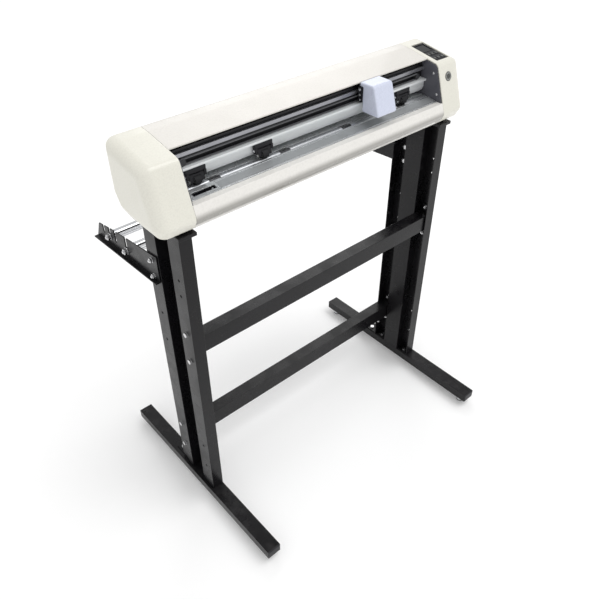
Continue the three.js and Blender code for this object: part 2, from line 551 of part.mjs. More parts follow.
function addCarriage(group) {
  const { x, width, front, back, bottom, top } = CARRIAGE;
  const [x0, x1] = [x - width / 2, x + width / 2];
  const railBack = BEAM.front - GAP;
  const railTop = RAIL.bottom + RAIL.height;
  const plate = block(x0, x1, front, back, bottom, top);
  const upperLip = block(x0, x1, back - 1, railBack - 0.2, railTop + GAP, railTop + GAP + 4);
  const lowerLip = block(x0, x1, back - 1, railBack - 0.2, RAIL.bottom - GAP - 3.2, RAIL.bottom - GAP);
  const [armLow, armHigh] = [bottom + 2, top - 8];
  const armProfile = [
    [front + 1, armLow], [COVER.toe + 15, armLow], [COVER.brow + 3, armHigh], [front + 1, armHigh]];
  const arms = [-1, 1].map((side) => {
    const inner = x + side * (TOOL.width / 2 + GAP);
    const outer = x + side * (TOOL.width / 2 + GAP + 3.5);
    return prism("x", armProfile, Math.min(inner, outer), Math.max(inner, outer));
  });
  add(group, "carriage_body", sum([plate, upperLip, lowerLip, ...arms]), "plastic");

  const { wall, rear, back: coverBack, toe, brow, round } = COVER;
  const half = COVER.width / 2;
  const step = LEDGE.top + COVER.overLedge;
  const skin = rounded([
    [rear, COVER.bottom, 4.5], [toe, COVER.bottom, 5], [brow, COVER.top, 9],
    [coverBack, COVER.top, 5], [coverBack, step, 4.5], [rear, step]]);
  const hollow = sum([
    prism("x", inset(skin, wall), x - half + wall, x + half - wall, round - wall),
    block(x - half + wall, x + half - wall, toe + 5, rear + 5, COVER.bottom - 5, COVER.bottom + 6),
    block(x - half + wall, x + half - wall, rear - 8, coverBack + 5, COVER.bottom - 5, COVER.top - 6),
  ]);
  add(group, "carriage_cover", prism("x", skin, x - half, x + half, round).subtract(hollow), "lilac");

  const slide = block(x - TOOL.width / 2, x + TOOL.width / 2, TOOL.front, TOOL.rear, TOOL.bottom, TOOL.top)
    .subtract(rod("z", boreFor(TOOL.radius), TOOL.bottom - 1, TOOL.top + 1, [x, TOOL.y]));
  add(group, "tool_slide", slide, "aluminium");
  const { radius, tip } = TOOL;
  const knob = TOOL.top + GAP;
  const profile = [
    [0, tip], [0.4, tip], [1.2, tip + 3], [3.4, tip + 5], [radius, tip + 12], [radius, knob],
    [radius + 2, knob], [radius + 2, knob + 8], [0, knob + 8]];
  const holder = new THREE.LatheGeometry(profile.map(([r, h]) => new THREE.Vector2(r, h)), 16);
  add(group, "blade_holder", solid(holder.rotateX(Math.PI / 2).translate(x, TOOL.y, 0)), "chrome");
}

// ---------------------------------------------------------------- pinch rollers
function addPinchRollers(group) {
  const under = LEDGE.bottom - GAP;
  const back = BEAM_FACE - GAP;
  const axle = [PINCH.y, WHEEL_Z];
  const pivot = [PIVOT.y, PIVOT_Z];
  const bridgeLow = PIVOT_Z + PIVOT.ear;
  const cheek = PINCH.wheelWidth / 2 + 0.5;
  const earIn = PINCH.width / 2 - PINCH.ear;
  for (const [name, x] of Object.entries(PINCH_CENTRES)) {
    const bridge = block(x - PINCH.width / 2, x + PINCH.width / 2, GRIT.y, back, bridgeLow, under);
    const ears = [-1, 1].map((s) => {
      const xs = [x + s * earIn, x + (s * PINCH.width) / 2].sort((a, b) => a - b);
      return block(...xs, PIVOT.y - PIVOT.ear, back, PIVOT_Z - PIVOT.ear, bridgeLow + 1);
    });
    const bore = rod("x", boreFor(PIVOT.radius), x - PINCH.width, x + PINCH.width, pivot, 16);
    add(group, `${name}_pinch_block`, sum([bridge, ...ears]).subtract(bore), "plastic");

    const cheekProfile = loop([...pivot, PINCH.link - 0.5], [...axle, PINCH.link], 6);
    const cheeks = [-1, 1].map((s) => {
      const xs = [x + s * cheek, x + s * (earIn - 0.7)].sort((a, b) => a - b);
      return prism("x", cheekProfile, ...xs);
    });
    const tie = block(
      x - earIn + 0.7, x + earIn - 0.7, PIVOT.y - 4, PIVOT.y + 3.5, PIVOT_Z - 1.5, PIVOT_Z + 2.8);
    const pins = [
      rod("x", PIVOT.radius, x - PINCH.width / 2, x + PINCH.width / 2, pivot, 16),
      rod("x", PINCH.pin, x - cheek - 1, x + cheek + 1, axle, 16)];
    add(group, `${name}_pinch_arm`, sum([...cheeks, tie, ...pins]), "plastic");

    const wheel = rod("x", PINCH.wheel, x - PINCH.wheelWidth / 2, x + PINCH.wheelWidth / 2, axle, 28)
      .subtract(rod("x", boreFor(PINCH.pin), x - PINCH.wheelWidth, x + PINCH.wheelWidth, axle, 16));
    add(group, `${name}_pinch_wheel`, wheel, "rubber");
  }
}

// ---------------------------------------------------------------- controls and electrics
function addPanel(group) {
  const panel = new THREE.Group();
  panel.applyMatrix4(panelFrame());
  group.add(panel);
  const [halfWidth, halfLength] = [PANEL.width / 2 - GAP, PANEL.length / 2 - GAP];
  const face = -PANEL.recess;
  const keys = {
    key_left: [-1, 0], key_up: [0, 0], key_right: [1, 0],
    key_down: [-1, 1], key_pause: [0, 1], key_enter: [1, 1],
  };
  const centres = Object.entries(keys).map(([name, [column, row]]) =>
    [name, column * KEY.pitch, KEY.rows[row]]);
  const [kw, kl] = [KEY.width / 2, KEY.length / 2];
  const holes = centres.map(([, x, v]) =>
    block(x - kw - GAP, x + kw + GAP, v - kl - GAP, v + kl + GAP, face - 9, face + 1));
  const window = block(-DISPLAY.width / 2, DISPLAY.width / 2, DISPLAY.from, DISPLAY.to, face - 9, face + 1);
  const plate = block(-halfWidth, halfWidth, -halfLength, halfLength, face - PANEL.plate, face);
  add(panel, "panel_bezel", cut(plate, [...holes, window]), "plastic");
  const glass = DISPLAY.width / 2 - GAP;
  const pane = block(-glass, glass, DISPLAY.from + GAP, DISPLAY.to - GAP, face - 4, face - 0.6);
  add(panel, "display", pane, "plastic");
  const crown = face + KEY.rise;
  for (const [name, x, v] of centres)
    add(panel, name, block(x - kw, x + kw, v - kl, v + kl, crown - KEY.depth, crown), "plastic");

  const front = new THREE.Group();
  front.applyMatrix4(buttonFrame());
  group.add(front);
  const cap = rod("z", BUTTON.radius, BUTTON.rise - BUTTON.depth, BUTTON.rise, [0, 0], 32);
  add(front, "front_button", cap, "grey");
}

function addPowerEntry(group) {
  const face = CAP_OUT - INLET.flush;
  const half = INLET.width / 2 - GAP;
  const body = block(
    face - INLET.depth, face, INLET.y - half, INLET.y + half, INLET.bottom + GAP, INLET.top - GAP);
  const socket = block(face - 15, face + 1, INLET.y - 12, INLET.y + 12, 34, 52);
  const well = block(
    face - 13, face + 1, INLET.y - ROCKER.width / 2 - GAP, INLET.y + ROCKER.width / 2 + GAP,
    ROCKER.z - ROCKER.cavity, ROCKER.z + ROCKER.cavity);
  const pins = [-5, 5].map((y) => block(face - 16, face - 4, INLET.y + y - 1, INLET.y + y + 1, 40, 44));
  add(group, "power_inlet", sum([cut(body, [socket, well]), ...pins]), "plastic");

  const pivot = new THREE.Group();
  pivot.position.set(face - ROCKER.pivot, INLET.y, ROCKER.z);
  pivot.rotation.y = THREE.MathUtils.degToRad(-ROCKER.tilt);
  group.add(pivot);
  const h = ROCKER.half;
  const profile = [[-h, 4.6], [0, 3.9], [h, 4.6], [h - 1.5, -3], [1.5 - h, -3]];
  add(pivot, "power_switch", prism("y", profile, -ROCKER.width / 2, ROCKER.width / 2), "plastic");
}

function addControlBoard(group) {
  const base = GAP * 2 + PAN.sheet;
  const sheetTop = base + 7.6;
  const parts = [
    block(-120, 110, -44, 18, base + 6, sheetTop),
    block(-110, -62, -38, 2, sheetTop - 0.5, sheetTop + 20),
    block(-40, -8, -34, -12, sheetTop - 0.5, sheetTop + 4),
    block(20, 60, -36, -6, sheetTop - 0.5, sheetTop + 12),
    ...[76, 92].map((x) => rod("z", 6, sheetTop - 0.5, sheetTop + 18, [x, -24], 16)),
    ...[-112, 102].flatMap((x) => [-38, 4].map((y) => rod("z", 3, base, sheetTop, [x, y], 12))),
  ];
  add(group, "control_board", sum(parts), "board");
}

// ---------------------------------------------------------------- assembly
const cutter = new THREE.Group();
const head = new THREE.Group();
head.position.z = HEAD_BASE;
cutter.add(head);

addFeet(cutter);
addColumns(cutter);
addCrossbars(cutter);
addRollArms(cutter);
addRollers(cutter);
addChassis(head);
addEndCaps(head);
addPlaten(head);
addFeedDrive(head);
addBeam(head);
addCarriageDrive(head);
addCarriage(head);
addPinchRollers(head);
addPanel(head);
addPowerEntry(head);
addControlBoard(head);

export default cutter;
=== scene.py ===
"""Looks of the roll cutter: a finish for every frame node, and the finer pieces round them."""

import json
import logging
import math
from collections.abc import Callable, Sequence
from dataclasses import dataclass
from enum import Enum

import bpy
from mathutils import Matrix, Vector


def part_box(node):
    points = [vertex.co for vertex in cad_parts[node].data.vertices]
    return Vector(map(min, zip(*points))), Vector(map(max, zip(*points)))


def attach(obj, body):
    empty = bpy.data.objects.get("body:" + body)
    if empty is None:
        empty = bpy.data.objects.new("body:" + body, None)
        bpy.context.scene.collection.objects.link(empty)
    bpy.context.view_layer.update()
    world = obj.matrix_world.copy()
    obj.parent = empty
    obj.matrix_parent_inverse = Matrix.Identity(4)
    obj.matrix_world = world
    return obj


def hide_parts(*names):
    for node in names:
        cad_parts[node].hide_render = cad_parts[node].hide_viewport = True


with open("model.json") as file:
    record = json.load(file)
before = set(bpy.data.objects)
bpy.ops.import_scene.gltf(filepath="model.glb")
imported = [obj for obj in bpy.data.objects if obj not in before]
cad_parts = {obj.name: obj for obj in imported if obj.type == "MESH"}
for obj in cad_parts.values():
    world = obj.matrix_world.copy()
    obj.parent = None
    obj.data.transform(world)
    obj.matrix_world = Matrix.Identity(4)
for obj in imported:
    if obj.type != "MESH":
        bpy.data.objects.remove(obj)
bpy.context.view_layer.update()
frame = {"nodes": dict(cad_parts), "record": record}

MM = 0.001
LOG = logging.getLogger("roll_cutter")
Colour = tuple[float, float, float]
Point = tuple[float, float, float]
Flat = tuple[float, float]
Piece = bpy.types.Object
SIDES = {"left": -1, "right": 1}
HEAD_BASE = 850.0
FRAME_BODY = "frame"
TOP_SLOPE = math.atan2(17.0, 103.0)  # the head's top falls towards the front
FRONT_SLOPE = math.atan2(113.0, 38.0)  # its front leans back
BROW_Y, BROW_Z = -48.0, 141.0  # the edge between the two slopes, above the head's underside
PANEL_Y, BUTTON_Z = 9.5, 109.0  # middles of the panel and of the round button
COARSE_PITCH = 1.25
DUST = (0.42, 0.41, 0.4)
BRUSH = (0.02, 1.0, 1.0)  # noise cells drawn out along the machine
# lays an outline's (x, y) on depth and height, and its extrusion along the machine
LENGTHWISE = Matrix(((0, 0, 1, 0), (1, 0, 0, 0), (0, 1, 0, 0), (0, 0, 0, 1)))


class Facing(Enum):
    """Directions that a pattern piece can be turned to."""

    LEFT = (-1.0, 0.0, 0.0)
    RIGHT = (1.0, 0.0, 0.0)
    FRONT = (0.0, -1.0, 0.0)
    BACK = (0.0, 1.0, 0.0)
    UP = (0.0, 0.0, 1.0)


def on_slope(x: float, y: float, z: float, angle: float) -> Matrix:
    """Frame on a sloping face of the head, its z axis square to the face."""
    return Matrix.Translation(Vector((x, y, HEAD_BASE + z)) * MM) @ Matrix.Rotation(angle, 4, "X")


PANEL_FRAME = on_slope(398.5, PANEL_Y, BROW_Z + (PANEL_Y - BROW_Y) * math.tan(TOP_SLOPE), TOP_SLOPE)
BUTTON_FRAME = on_slope(394.0, BROW_Y - (BROW_Z - BUTTON_Z) / math.tan(FRONT_SLOPE), BUTTON_Z, FRONT_SLOPE)


# ---- shader maths
class Signal:
    """A value inside a shader: a node's output socket, on which ordinary arithmetic adds Math nodes."""

    def __init__(self, graph: "Graph", socket: bpy.types.NodeSocket) -> None:
        """Wrap an output socket of a graph."""
        self.graph = graph
        self.socket = socket

    def __add__(self, other: "Signal | float") -> "Signal":
        """Sum."""
        return self.graph.maths("ADD", self, other)

    def __radd__(self, other: float) -> "Signal":
        """Sum with a number on the left."""
        return self.graph.maths("ADD", other, self)

    def __sub__(self, other: "Signal | float") -> "Signal":
        """Difference."""
        return self.graph.maths("SUBTRACT", self, other)

    def __rsub__(self, other: float) -> "Signal":
        """Difference from a number on the left."""
        return self.graph.maths("SUBTRACT", other, self)

    def __mul__(self, other: "Signal | float") -> "Signal":
        """Product."""
        return self.graph.maths("MULTIPLY", self, other)

    def __rmul__(self, other: float) -> "Signal":
        """Product with a number on the left."""
        return self.graph.maths("MULTIPLY", other, self)

    def step(self, low: float, high: float) -> "Signal":
        """Smooth step from 0 at low to 1 at high."""
        return self.graph.ramp(self, low, high)


class Graph:
    """A material's node tree with one Principled shader, read in Object coordinates."""

    def __init__(self, name: str) -> None:
        """Start an empty material.

        Args:
            name: The material's name.
        """
        self.material = bpy.data.materials.new(name)
        self.material.use_nodes = True
        self.tree = self.material.node_tree
        self.tree.nodes.clear()
        out = self.tree.nodes.new("ShaderNodeOutputMaterial")
        self.shader = self.tree.nodes.new("ShaderNodeBsdfPrincipled")
        self.tree.links.new(self.shader.outputs[0], out.inputs[0])
        self.place = self.node("ShaderNodeTexCoord", output="Object")

    def node(self, kind: str, settings: dict | None = None, inputs: dict | None = None,
             output: str | int = 0) -> Signal:
        """Add any node.

        Args:
            kind: The node's type name.
            settings: Attributes set on the node first.
            inputs: Values or signals for its sockets, by name or number.
            output: The socket that is returned.

        Returns:
            The chosen output.
        """
        made = self.tree.nodes.new(kind)
        for name, value in (settings or {}).items():
            setattr(made, name, value)
        for name, value in (inputs or {}).items():
            self.feed(made.inputs[name], value)
        return Signal(self, made.outputs[output])

    def feed(self, socket: bpy.types.NodeSocket, value: object) -> None:
        """Link a signal to a socket, or set the socket's value."""
        if isinstance(value, Signal):
            self.tree.links.new(value.socket, socket)
        elif isinstance(value, tuple) and len(value) == 3 and socket.type == "RGBA":
            socket.default_value = (*value, 1.0)
        else:
            socket.default_value = value

    def maths(self, operation: str, a: "Signal | float", b: "Signal | float") -> Signal:
        """A Math node on two values."""
        return self.node("ShaderNodeMath", {"operation": operation}, {0: a, 1: b})

    def ramp(self, value: Signal, low: float, high: float) -> Signal:
        """A smooth step of a value between two limits."""
        inputs = {"Value": value, "From Min": low, "From Max": high}
        return self.node("ShaderNodeMapRange", {"interpolation_type": "SMOOTHSTEP"}, inputs, "Result")

    def mix(self, factor: "Signal | float", a: "Signal | Colour", b: "Signal | Colour") -> Signal:
        """Blend two colours."""
        return self.node("ShaderNodeMix", {"data_type": "RGBA"}, {0: factor, 6: a, 7: b}, 2)

    def stretched(self, scale: Point) -> Signal:
        """Object coordinates scaled along each axis."""
        return self.node("ShaderNodeMapping", None, {"Vector": self.place, "Scale": scale}, "Vector")

    def noise(self, size_mm: float, detail: float = 3.0, stretch: Point = (1.0, 1.0, 1.0)) -> Signal:
        """Noise with cells of a size in millimetres.

        Args:
            size_mm: Width of a cell.
            detail: Octaves of finer noise.
            stretch: Cells are this many times shorter along each axis.

        Returns:
            The noise, about 0.2 to 0.8.
        """
        inputs = {"Vector": self.stretched(stretch), "Scale": 1 / (size_mm * MM), "Detail": detail}
        return self.node("ShaderNodeTexNoise", None, inputs, "Fac")

    def axis(self, name: str) -> Signal:
        """One Object coordinate, in metres."""
        return self.node("ShaderNodeSeparateXYZ", None, {0: self.place}, name)

    def bump(self, height: Signal, depth_mm: float, strength: float = 1.0) -> Signal:
        """A normal from a height signal."""
        inputs = {"Height": height, "Distance": depth_mm * MM, "Strength": strength}
        return self.node("ShaderNodeBump", None, inputs, "Normal")


# ---- finishes
@dataclass(frozen=True)
class Finish:
    """A surface: two close colours that drift into each other, fine grain, smudges and a relief.

    Attributes:
        name: The finish's name.
        slot: Material slot of the record; not used.
        base: Main colour.
        drift: Colour of the broad variation.
        roughness: Mean roughness.
        spread: How far smudges change the roughness.
        metallic: 1 for bare metal.
        grain: Size of the fine texture, in millimetres.
        relief: Depth of the fine texture, in millimetres.
        stretch: Shortens the grain's cells along each axis, for brushed metal.
        dust: Share of light settled dust on faces that look up.
        coat: Strength of a clear coat.
        gloss: Specular level of a non-metal.
    """

    name: str
    slot: str
    base: Colour
    drift: Colour
    roughness: float
    spread: float = 0.08
    metallic: float = 0.0
    grain: float = 0.8
    relief: float = 0.02
    stretch: Point = (1.0, 1.0, 1.0)
    dust: float = 0.0
    coat: float = 0.0
    gloss: float = 0.5

    def colour(self, graph: Graph) -> Signal:
        """Base colour with its broad drift and grain."""
        broad = graph.noise(140.0, 2.0)
        grain = graph.noise(self.grain * 2, 2.0, self.stretch)
        mixed = graph.mix(broad.step(0.3, 0.7), self.base, self.drift)
        darker = tuple(c * 0.86 for c in self.base)
        return graph.mix(grain.step(0.35, 0.75) * 0.35, mixed, darker)

    def height(self, graph: Graph) -> Signal:
        """Relief of the surface, 0 to 1."""
        return graph.noise(self.grain, 3.0, self.stretch)

    def material(self) -> bpy.types.Material:
        """Build the finish once and reuse it.

        Returns:
            The material.
        """
        found = bpy.data.materials.get(self.name)
        if found:
            return found
        graph = Graph(self.name)
        shader = graph.shader.inputs
        colour = self.colour(graph)
        rough = graph.noise(45.0, 4.0).step(0.35, 0.7) * self.spread + (self.roughness - self.spread / 2)
        if self.dust:
            normal = graph.node("ShaderNodeNewGeometry", output="Normal")
            up = graph.node("ShaderNodeSeparateXYZ", None, {0: normal}, "Z")
            settled = up.step(0.6, 1.0) * graph.noise(25.0, 5.0).step(0.42, 0.75) * self.dust
            colour = graph.mix(settled, colour, DUST)
            rough = rough + settled * 0.2
        graph.feed(shader["Base Color"], colour)
        graph.feed(shader["Roughness"], rough)
        shader["Metallic"].default_value = self.metallic
        shader["Coat Weight"].default_value = self.coat
        shader["Specular IOR Level"].default_value = self.gloss
        graph.feed(shader["Normal"], graph.bump(self.height(graph), self.relief))
        return graph.material


@dataclass(frozen=True)
class TroughFinish(Finish):
    """Platen metal with painted shade: its trough under the grit shaft is black.

    Attributes:
        edge: Height of the trough's mouth, in millimetres.
        black_fill: Colour of the painted shade below it.
    """

    edge: float = HEAD_BASE + 53.5
    # painted shade: this black stands in for the shade inside the trough
    black_fill: Colour = (0.006, 0.006, 0.007)

    def colour(self, graph: Graph) -> Signal:
        """Bright above the trough's mouth, black painted shade below it."""
        above = graph.axis("Z").step((self.edge - 1) * MM, (self.edge + 1) * MM)
        return graph.mix(above, self.black_fill, super().colour(graph))


@dataclass(frozen=True)
class BeamFinish(Finish):
    """Beam metal that is black above its ledge.

    Attributes:
        ledge: Height of the ledge's top, in millimetres.
        black_fill: Colour above it.
    """

    ledge: float = HEAD_BASE + 101.0
    black_fill: Colour = (0.008, 0.008, 0.01)

    def colour(self, graph: Graph) -> Signal:
        """Bright up to the ledge, black above it."""
        above = graph.axis("Z").step((self.ledge + 0.1) * MM, (self.ledge + 0.5) * MM)
        return graph.mix(above, super().colour(graph), self.black_fill)


@dataclass(frozen=True)
class ApronFinish(Finish):
    """Pearl front of the apron with a painted reflection: a greyish band along its lower half.

    Attributes:
        band: Lower and upper limit of the painted reflection band, in millimetres above the head's
            underside.
        reflection_grey: Colour of the painted reflection band.
    """

    band: tuple[float, float, float, float] = (12.0, 18.0, 26.0, 41.0)
    reflection_grey: Colour = (0.27, 0.26, 0.235)

    def colour(self, graph: Graph) -> Signal:
        """Cream with the painted reflection band mixed in by height."""
        low, full, start, fade = (HEAD_BASE + z for z in self.band)
        height = graph.axis("Z")
        # painted reflection: a greyish band by height stands in for what the lower front reflects
        mask = height.step(low * MM, full * MM) * (1 - height.step(start * MM, fade * MM))
        return graph.mix(mask * 0.85, super().colour(graph), self.reflection_grey)


@dataclass(frozen=True)
class GritFinish(Finish):
    """Ground shaft with dark abrasive bands.

    Attributes:
        bands: Middles of the bands along the shaft, in millimetres.
        half: Half of a band's length, in millimetres.
        dark: Colour between a band's grains.
        speck: Colour of the grains.
    """

    bands: tuple[float, ...] = (-276.0, -95.0, 86.0, 267.0)
    half: float = 14.0
    dark: Colour = (0.02, 0.02, 0.022)
    speck: Colour = (0.13, 0.13, 0.135)

    def mask(self, graph: Graph) -> Signal:
        """1 on a band, 0 between."""
        x = graph.axis("X")
        total: Signal | float = 0.0
        for middle in self.bands:
            away = graph.maths("ABSOLUTE", x - middle * MM, 0.0)
            total = (1 - away.step((self.half - 0.4) * MM, (self.half + 0.4) * MM)) + total
        return total

    def colour(self, graph: Graph) -> Signal:
        """Bright shaft, dark speckled bands."""
        grains = graph.noise(0.7, 1.0).step(0.5, 0.62)
        band = graph.mix(grains, self.dark, self.speck)
        return graph.mix(self.mask(graph), super().colour(graph), band)


CREAM = Finish("cream_casing", "cream", (0.80, 0.785, 0.70), (0.825, 0.81, 0.725),
               0.34, 0.1, grain=1.6, relief=0.012, coat=0.15)
COVER_CREAM = Finish("cover_casing", "cream", (0.745, 0.72, 0.675), (0.765, 0.74, 0.695),
                     0.34, 0.1, grain=1.6, relief=0.012, coat=0.15)
APRON_CREAM = ApronFinish("apron_casing", "cream", (0.86, 0.84, 0.80), (0.88, 0.86, 0.82),
                          0.24, 0.08, grain=2.4, relief=0.008, coat=0.4)
BLACK = Finish("black_powder_coat", "black_paint", (0.0055, 0.0052, 0.006), (0.008, 0.0075, 0.009),
               0.3, 0.12, grain=0.7, relief=0.02, dust=0.03, gloss=0.24)
DARK = Finish("side_plate_paint", "dark_plate", (0.085, 0.086, 0.10), (0.10, 0.10, 0.118),
              0.36, 0.1, grain=0.7, relief=0.02)
BRUSHED = Finish("brushed_aluminium", "aluminium", (0.66, 0.68, 0.70), (0.74, 0.76, 0.78),
                 0.36, 0.12, 0.75, 0.35, 0.012, BRUSH)
PLATEN_GREY = TroughFinish("platen_aluminium", "aluminium", (0.60, 0.62, 0.63), (0.68, 0.70, 0.71),
                           0.3, 0.12, 0.75, 0.4, 0.012, BRUSH)
BEAM_GREY = BeamFinish("beam_aluminium", "aluminium", (0.80, 0.83, 0.84), (0.86, 0.88, 0.89),
                       0.4, 0.12, 0.3, 0.35, 0.012, BRUSH)
RAIL_STEEL = Finish("rail_steel", "chrome", (0.33, 0.335, 0.36), (0.38, 0.385, 0.41),
                    0.34, 0.12, 0.9, 0.4, 0.012, BRUSH)
BELT = Finish("belt_rubber", "rubber", (0.11, 0.112, 0.12), (0.14, 0.142, 0.15),
              0.6, 0.1, grain=0.6, relief=0.03)
STRIP_GREY = Finish("strip_aluminium", "aluminium", (0.36, 0.375, 0.385), (0.41, 0.425, 0.435),
                    0.45, 0.1, 0.5, 0.4, 0.012, BRUSH)
BRIGHT = Finish("zinc_plate", "chrome", (0.62, 0.62, 0.63), (0.7, 0.7, 0.71), 0.24, 0.12, 1.0, 0.8, 0.01)
CHROME = Finish("polished_chrome", "chrome", (0.72, 0.73, 0.75), (0.78, 0.79, 0.80),
                0.12, 0.08, 1.0, 3.0, 0.002, (0.1, 1.0, 1.0))
RUBBER = Finish("black_rubber", "rubber", (0.012, 0.012, 0.014), (0.018, 0.018, 0.02),
                0.72, 0.1, grain=0.5, relief=0.03, gloss=0.3)
PLASTIC = Finish("black_moulding", "black_plastic", (0.009, 0.009, 0.012), (0.013, 0.013, 0.016),
                 0.42, 0.12, grain=0.6, relief=0.02, gloss=0.28)
KEY_PLASTIC = Finish("key_moulding", "black_plastic", (0.03, 0.031, 0.033), (0.036, 0.037, 0.04),
                     0.45, 0.12, grain=0.6, relief=0.02, gloss=0.3)
LILAC = Finish("lilac_moulding", "lilac_plastic", (0.67, 0.71, 0.85), (0.69, 0.73, 0.865),
               0.3, 0.08, grain=1.4, relief=0.01, coat=0.2)
GREY = Finish("grey_moulding", "grey_plastic", (0.13, 0.135, 0.12), (0.16, 0.165, 0.15),
              0.42, 0.1, grain=0.6, relief=0.02)
SCREEN = Finish("screen_glass", "screen", (0.006, 0.007, 0.008), (0.009, 0.011, 0.012),
                0.14, 0.06, grain=2.0, relief=0.002, gloss=0.3)
CIRCUIT = Finish("circuit_lacquer", "circuit", (0.012, 0.09, 0.035), (0.016, 0.11, 0.045),
                 0.4, 0.1, grain=1.2, relief=0.05)
GRIT = GritFinish("grit_shaft_steel", "grit", (0.42, 0.43, 0.45), (0.5, 0.51, 0.53),
                  0.34, 0.1, 0.9, 0.4, 0.02, (0.05, 1.0, 1.0))


# ---- modelling
def deselect() -> None:
    """Leave edit mode and leave nothing selected."""
    if bpy.context.object and bpy.context.object.mode != "OBJECT":
        bpy.ops.object.mode_set(mode="OBJECT")
    bpy.ops.object.select_all(action="DESELECT")


def activate(*pieces: Piece) -> None:
    """Leave only these pieces selected, the first one active, in object mode."""
    deselect()
    for piece in pieces:
        piece.select_set(True)
    bpy.context.view_layer.objects.active = pieces[0]


def begin(name: str, operator: Callable, **settings: object) -> Piece:
    """Add a primitive with nothing else selected, and put its place into its mesh.

    Args:
        name: The piece's name.
        operator: The primitive's operator.
        **settings: The operator's settings.

    Returns:
        The new object.
    """
    deselect()
    operator(**settings)
    made = bpy.context.object
    made.name = name
    bpy.ops.object.transform_apply(location=True, rotation=True, scale=True)
    return made


def pick(piece: Piece, kind: str, test: Callable[[Vector], bool]) -> None:
    """Enter edit mode with only the faces, edges or corners whose middle passes the test selected."""
    activate(piece)
    bpy.ops.object.mode_set(mode="EDIT")
    bpy.ops.mesh.select_mode(type=kind)
    bpy.ops.mesh.select_all(action="DESELECT")
    bpy.ops.object.mode_set(mode="OBJECT")
    mesh = piece.data
    if kind == "FACE":
        for face in mesh.polygons:
            face.select = test(face.center)
    elif kind == "EDGE":
        for edge in mesh.edges:
            a, b = (mesh.vertices[i].co for i in edge.vertices)
            edge.select = test((a + b) / 2)
    else:
        for corner in mesh.vertices:
            corner.select = test(corner.co)
    bpy.ops.object.mode_set(mode="EDIT")


def leave() -> None:
    """Back to object mode."""
    bpy.ops.object.mode_set(mode="OBJECT")


def modify(piece: Piece, kind: str, **settings: object) -> None:
    """Add a modifier with its settings and apply it."""
    modifier = piece.modifiers.new(kind.lower(), kind)
    for name, value in settings.items():
        setattr(modifier, name, value)
    activate(piece)
    bpy.ops.object.modifier_apply(modifier=modifier.name)


def smooth(piece: Piece, degrees: float = 32.0) -> None:
    """Shade smooth across edges flatter than an angle."""
    activate(piece)
    bpy.ops.object.shade_smooth_by_angle(angle=math.radians(degrees))


def dress(piece: Piece, finish: Finish, body: str = FRAME_BODY, *replaced: str) -> Piece:
    """Give a piece its finish, its body and the nodes it stands for.

    Args:
        piece: The finished mesh object.
        finish: Its finish.
        body: The body it rides on.
        *replaced: Nodes it replaces.

    Returns:
        The piece.
    """
    piece.data.materials.clear()
    piece.data.materials.append(finish.material())
    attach(piece, body)
    if replaced:
        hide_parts(*replaced)
    LOG.info("%s: %d faces on %s", piece.name, len(piece.data.polygons), body)
    return piece


def joined(name: str, pieces: Sequence[Piece]) -> Piece:
    """Join several meshes into one object."""
    activate(*pieces)
    if len(pieces) > 1:
        bpy.ops.object.join()
    pieces[0].name = name
    return pieces[0]


def copied(piece: Piece, place: Matrix) -> Piece:
    """A copy with its own mesh, moved by a matrix in its mesh."""
    copy = piece.copy()
    copy.data = piece.data.copy()
    bpy.context.scene.collection.objects.link(copy)
    copy.data.transform(place)
    return copy


def remove(piece: Piece) -> None:
    """Delete a pattern piece once its copies are made."""
    bpy.data.objects.remove(piece)


def cut(piece: Piece, tool: Piece) -> None:
    """Cut a solid out of a piece and delete the solid."""
    modify(piece, "BOOLEAN", operation="DIFFERENCE", solver="EXACT", object=tool)
    remove(tool)


def moved(x: float, y: float, z: float) -> Matrix:
    """Matrix that moves a piece by millimetres."""
    return Matrix.Translation((x * MM, y * MM, z * MM))


def lifted(height: float) -> Matrix:
    """Matrix that lifts a piece by a height in millimetres."""
    return moved(0.0, 0.0, height)


def toward(facing: Facing, at: Point) -> Matrix:
    """Matrix that turns +Z to a direction and moves the origin to a point in millimetres."""
    turn = Vector(facing.value).to_track_quat("Z", "Y").to_matrix().to_4x4()
    return Matrix.Translation(Vector(at) * MM) @ turn


def outward(side: str, x: float, y: float, z: float) -> Matrix:
    """Place on a face of one side of the machine, turned away from its middle."""
    return toward(Facing.LEFT if SIDES[side] < 0 else Facing.RIGHT, (SIDES[side] * x, y, z))


def inward(side: str, x: float, y: float, z: float) -> Matrix:
    """Place on a face of one side of the machine, turned to its middle."""
    return toward(Facing.RIGHT if SIDES[side] < 0 else Facing.LEFT, (SIDES[side] * x, y, z))


def body_holding(node: str) -> str:
    """The body that a node belongs to."""
    bodies = frame["record"]["behaviour"]["bodies"]
    return next(body for body, members in bodies.items() if node in members)


def middle(node: str) -> Vector:
    """Middle of a node's box at rest, in metres."""
    low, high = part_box(node)
    return (low + high) / 2


def whole(node: str, name: str) -> Piece:
    """A copy of a node whose triangles are merged into whole faces."""
    piece = bpy.data.objects.new(name, frame["nodes"][node].data.copy())
    bpy.context.scene.collection.objects.link(piece)
    pick(piece, "VERT", lambda co: True)
    bpy.ops.mesh.remove_doubles(threshold=2e-5)
    bpy.ops.mesh.dissolve_limited(angle_limit=math.radians(1.0))
    leave()
    return piece


def softened(node: str, finish: Finish, round_mm: float) -> Piece:
    """A copy of a node with rounded edges and smooth curves, which replaces it."""
    return dress(eased(whole(node, f"{node}_finished"), round_mm), finish, body_holding(node), node)


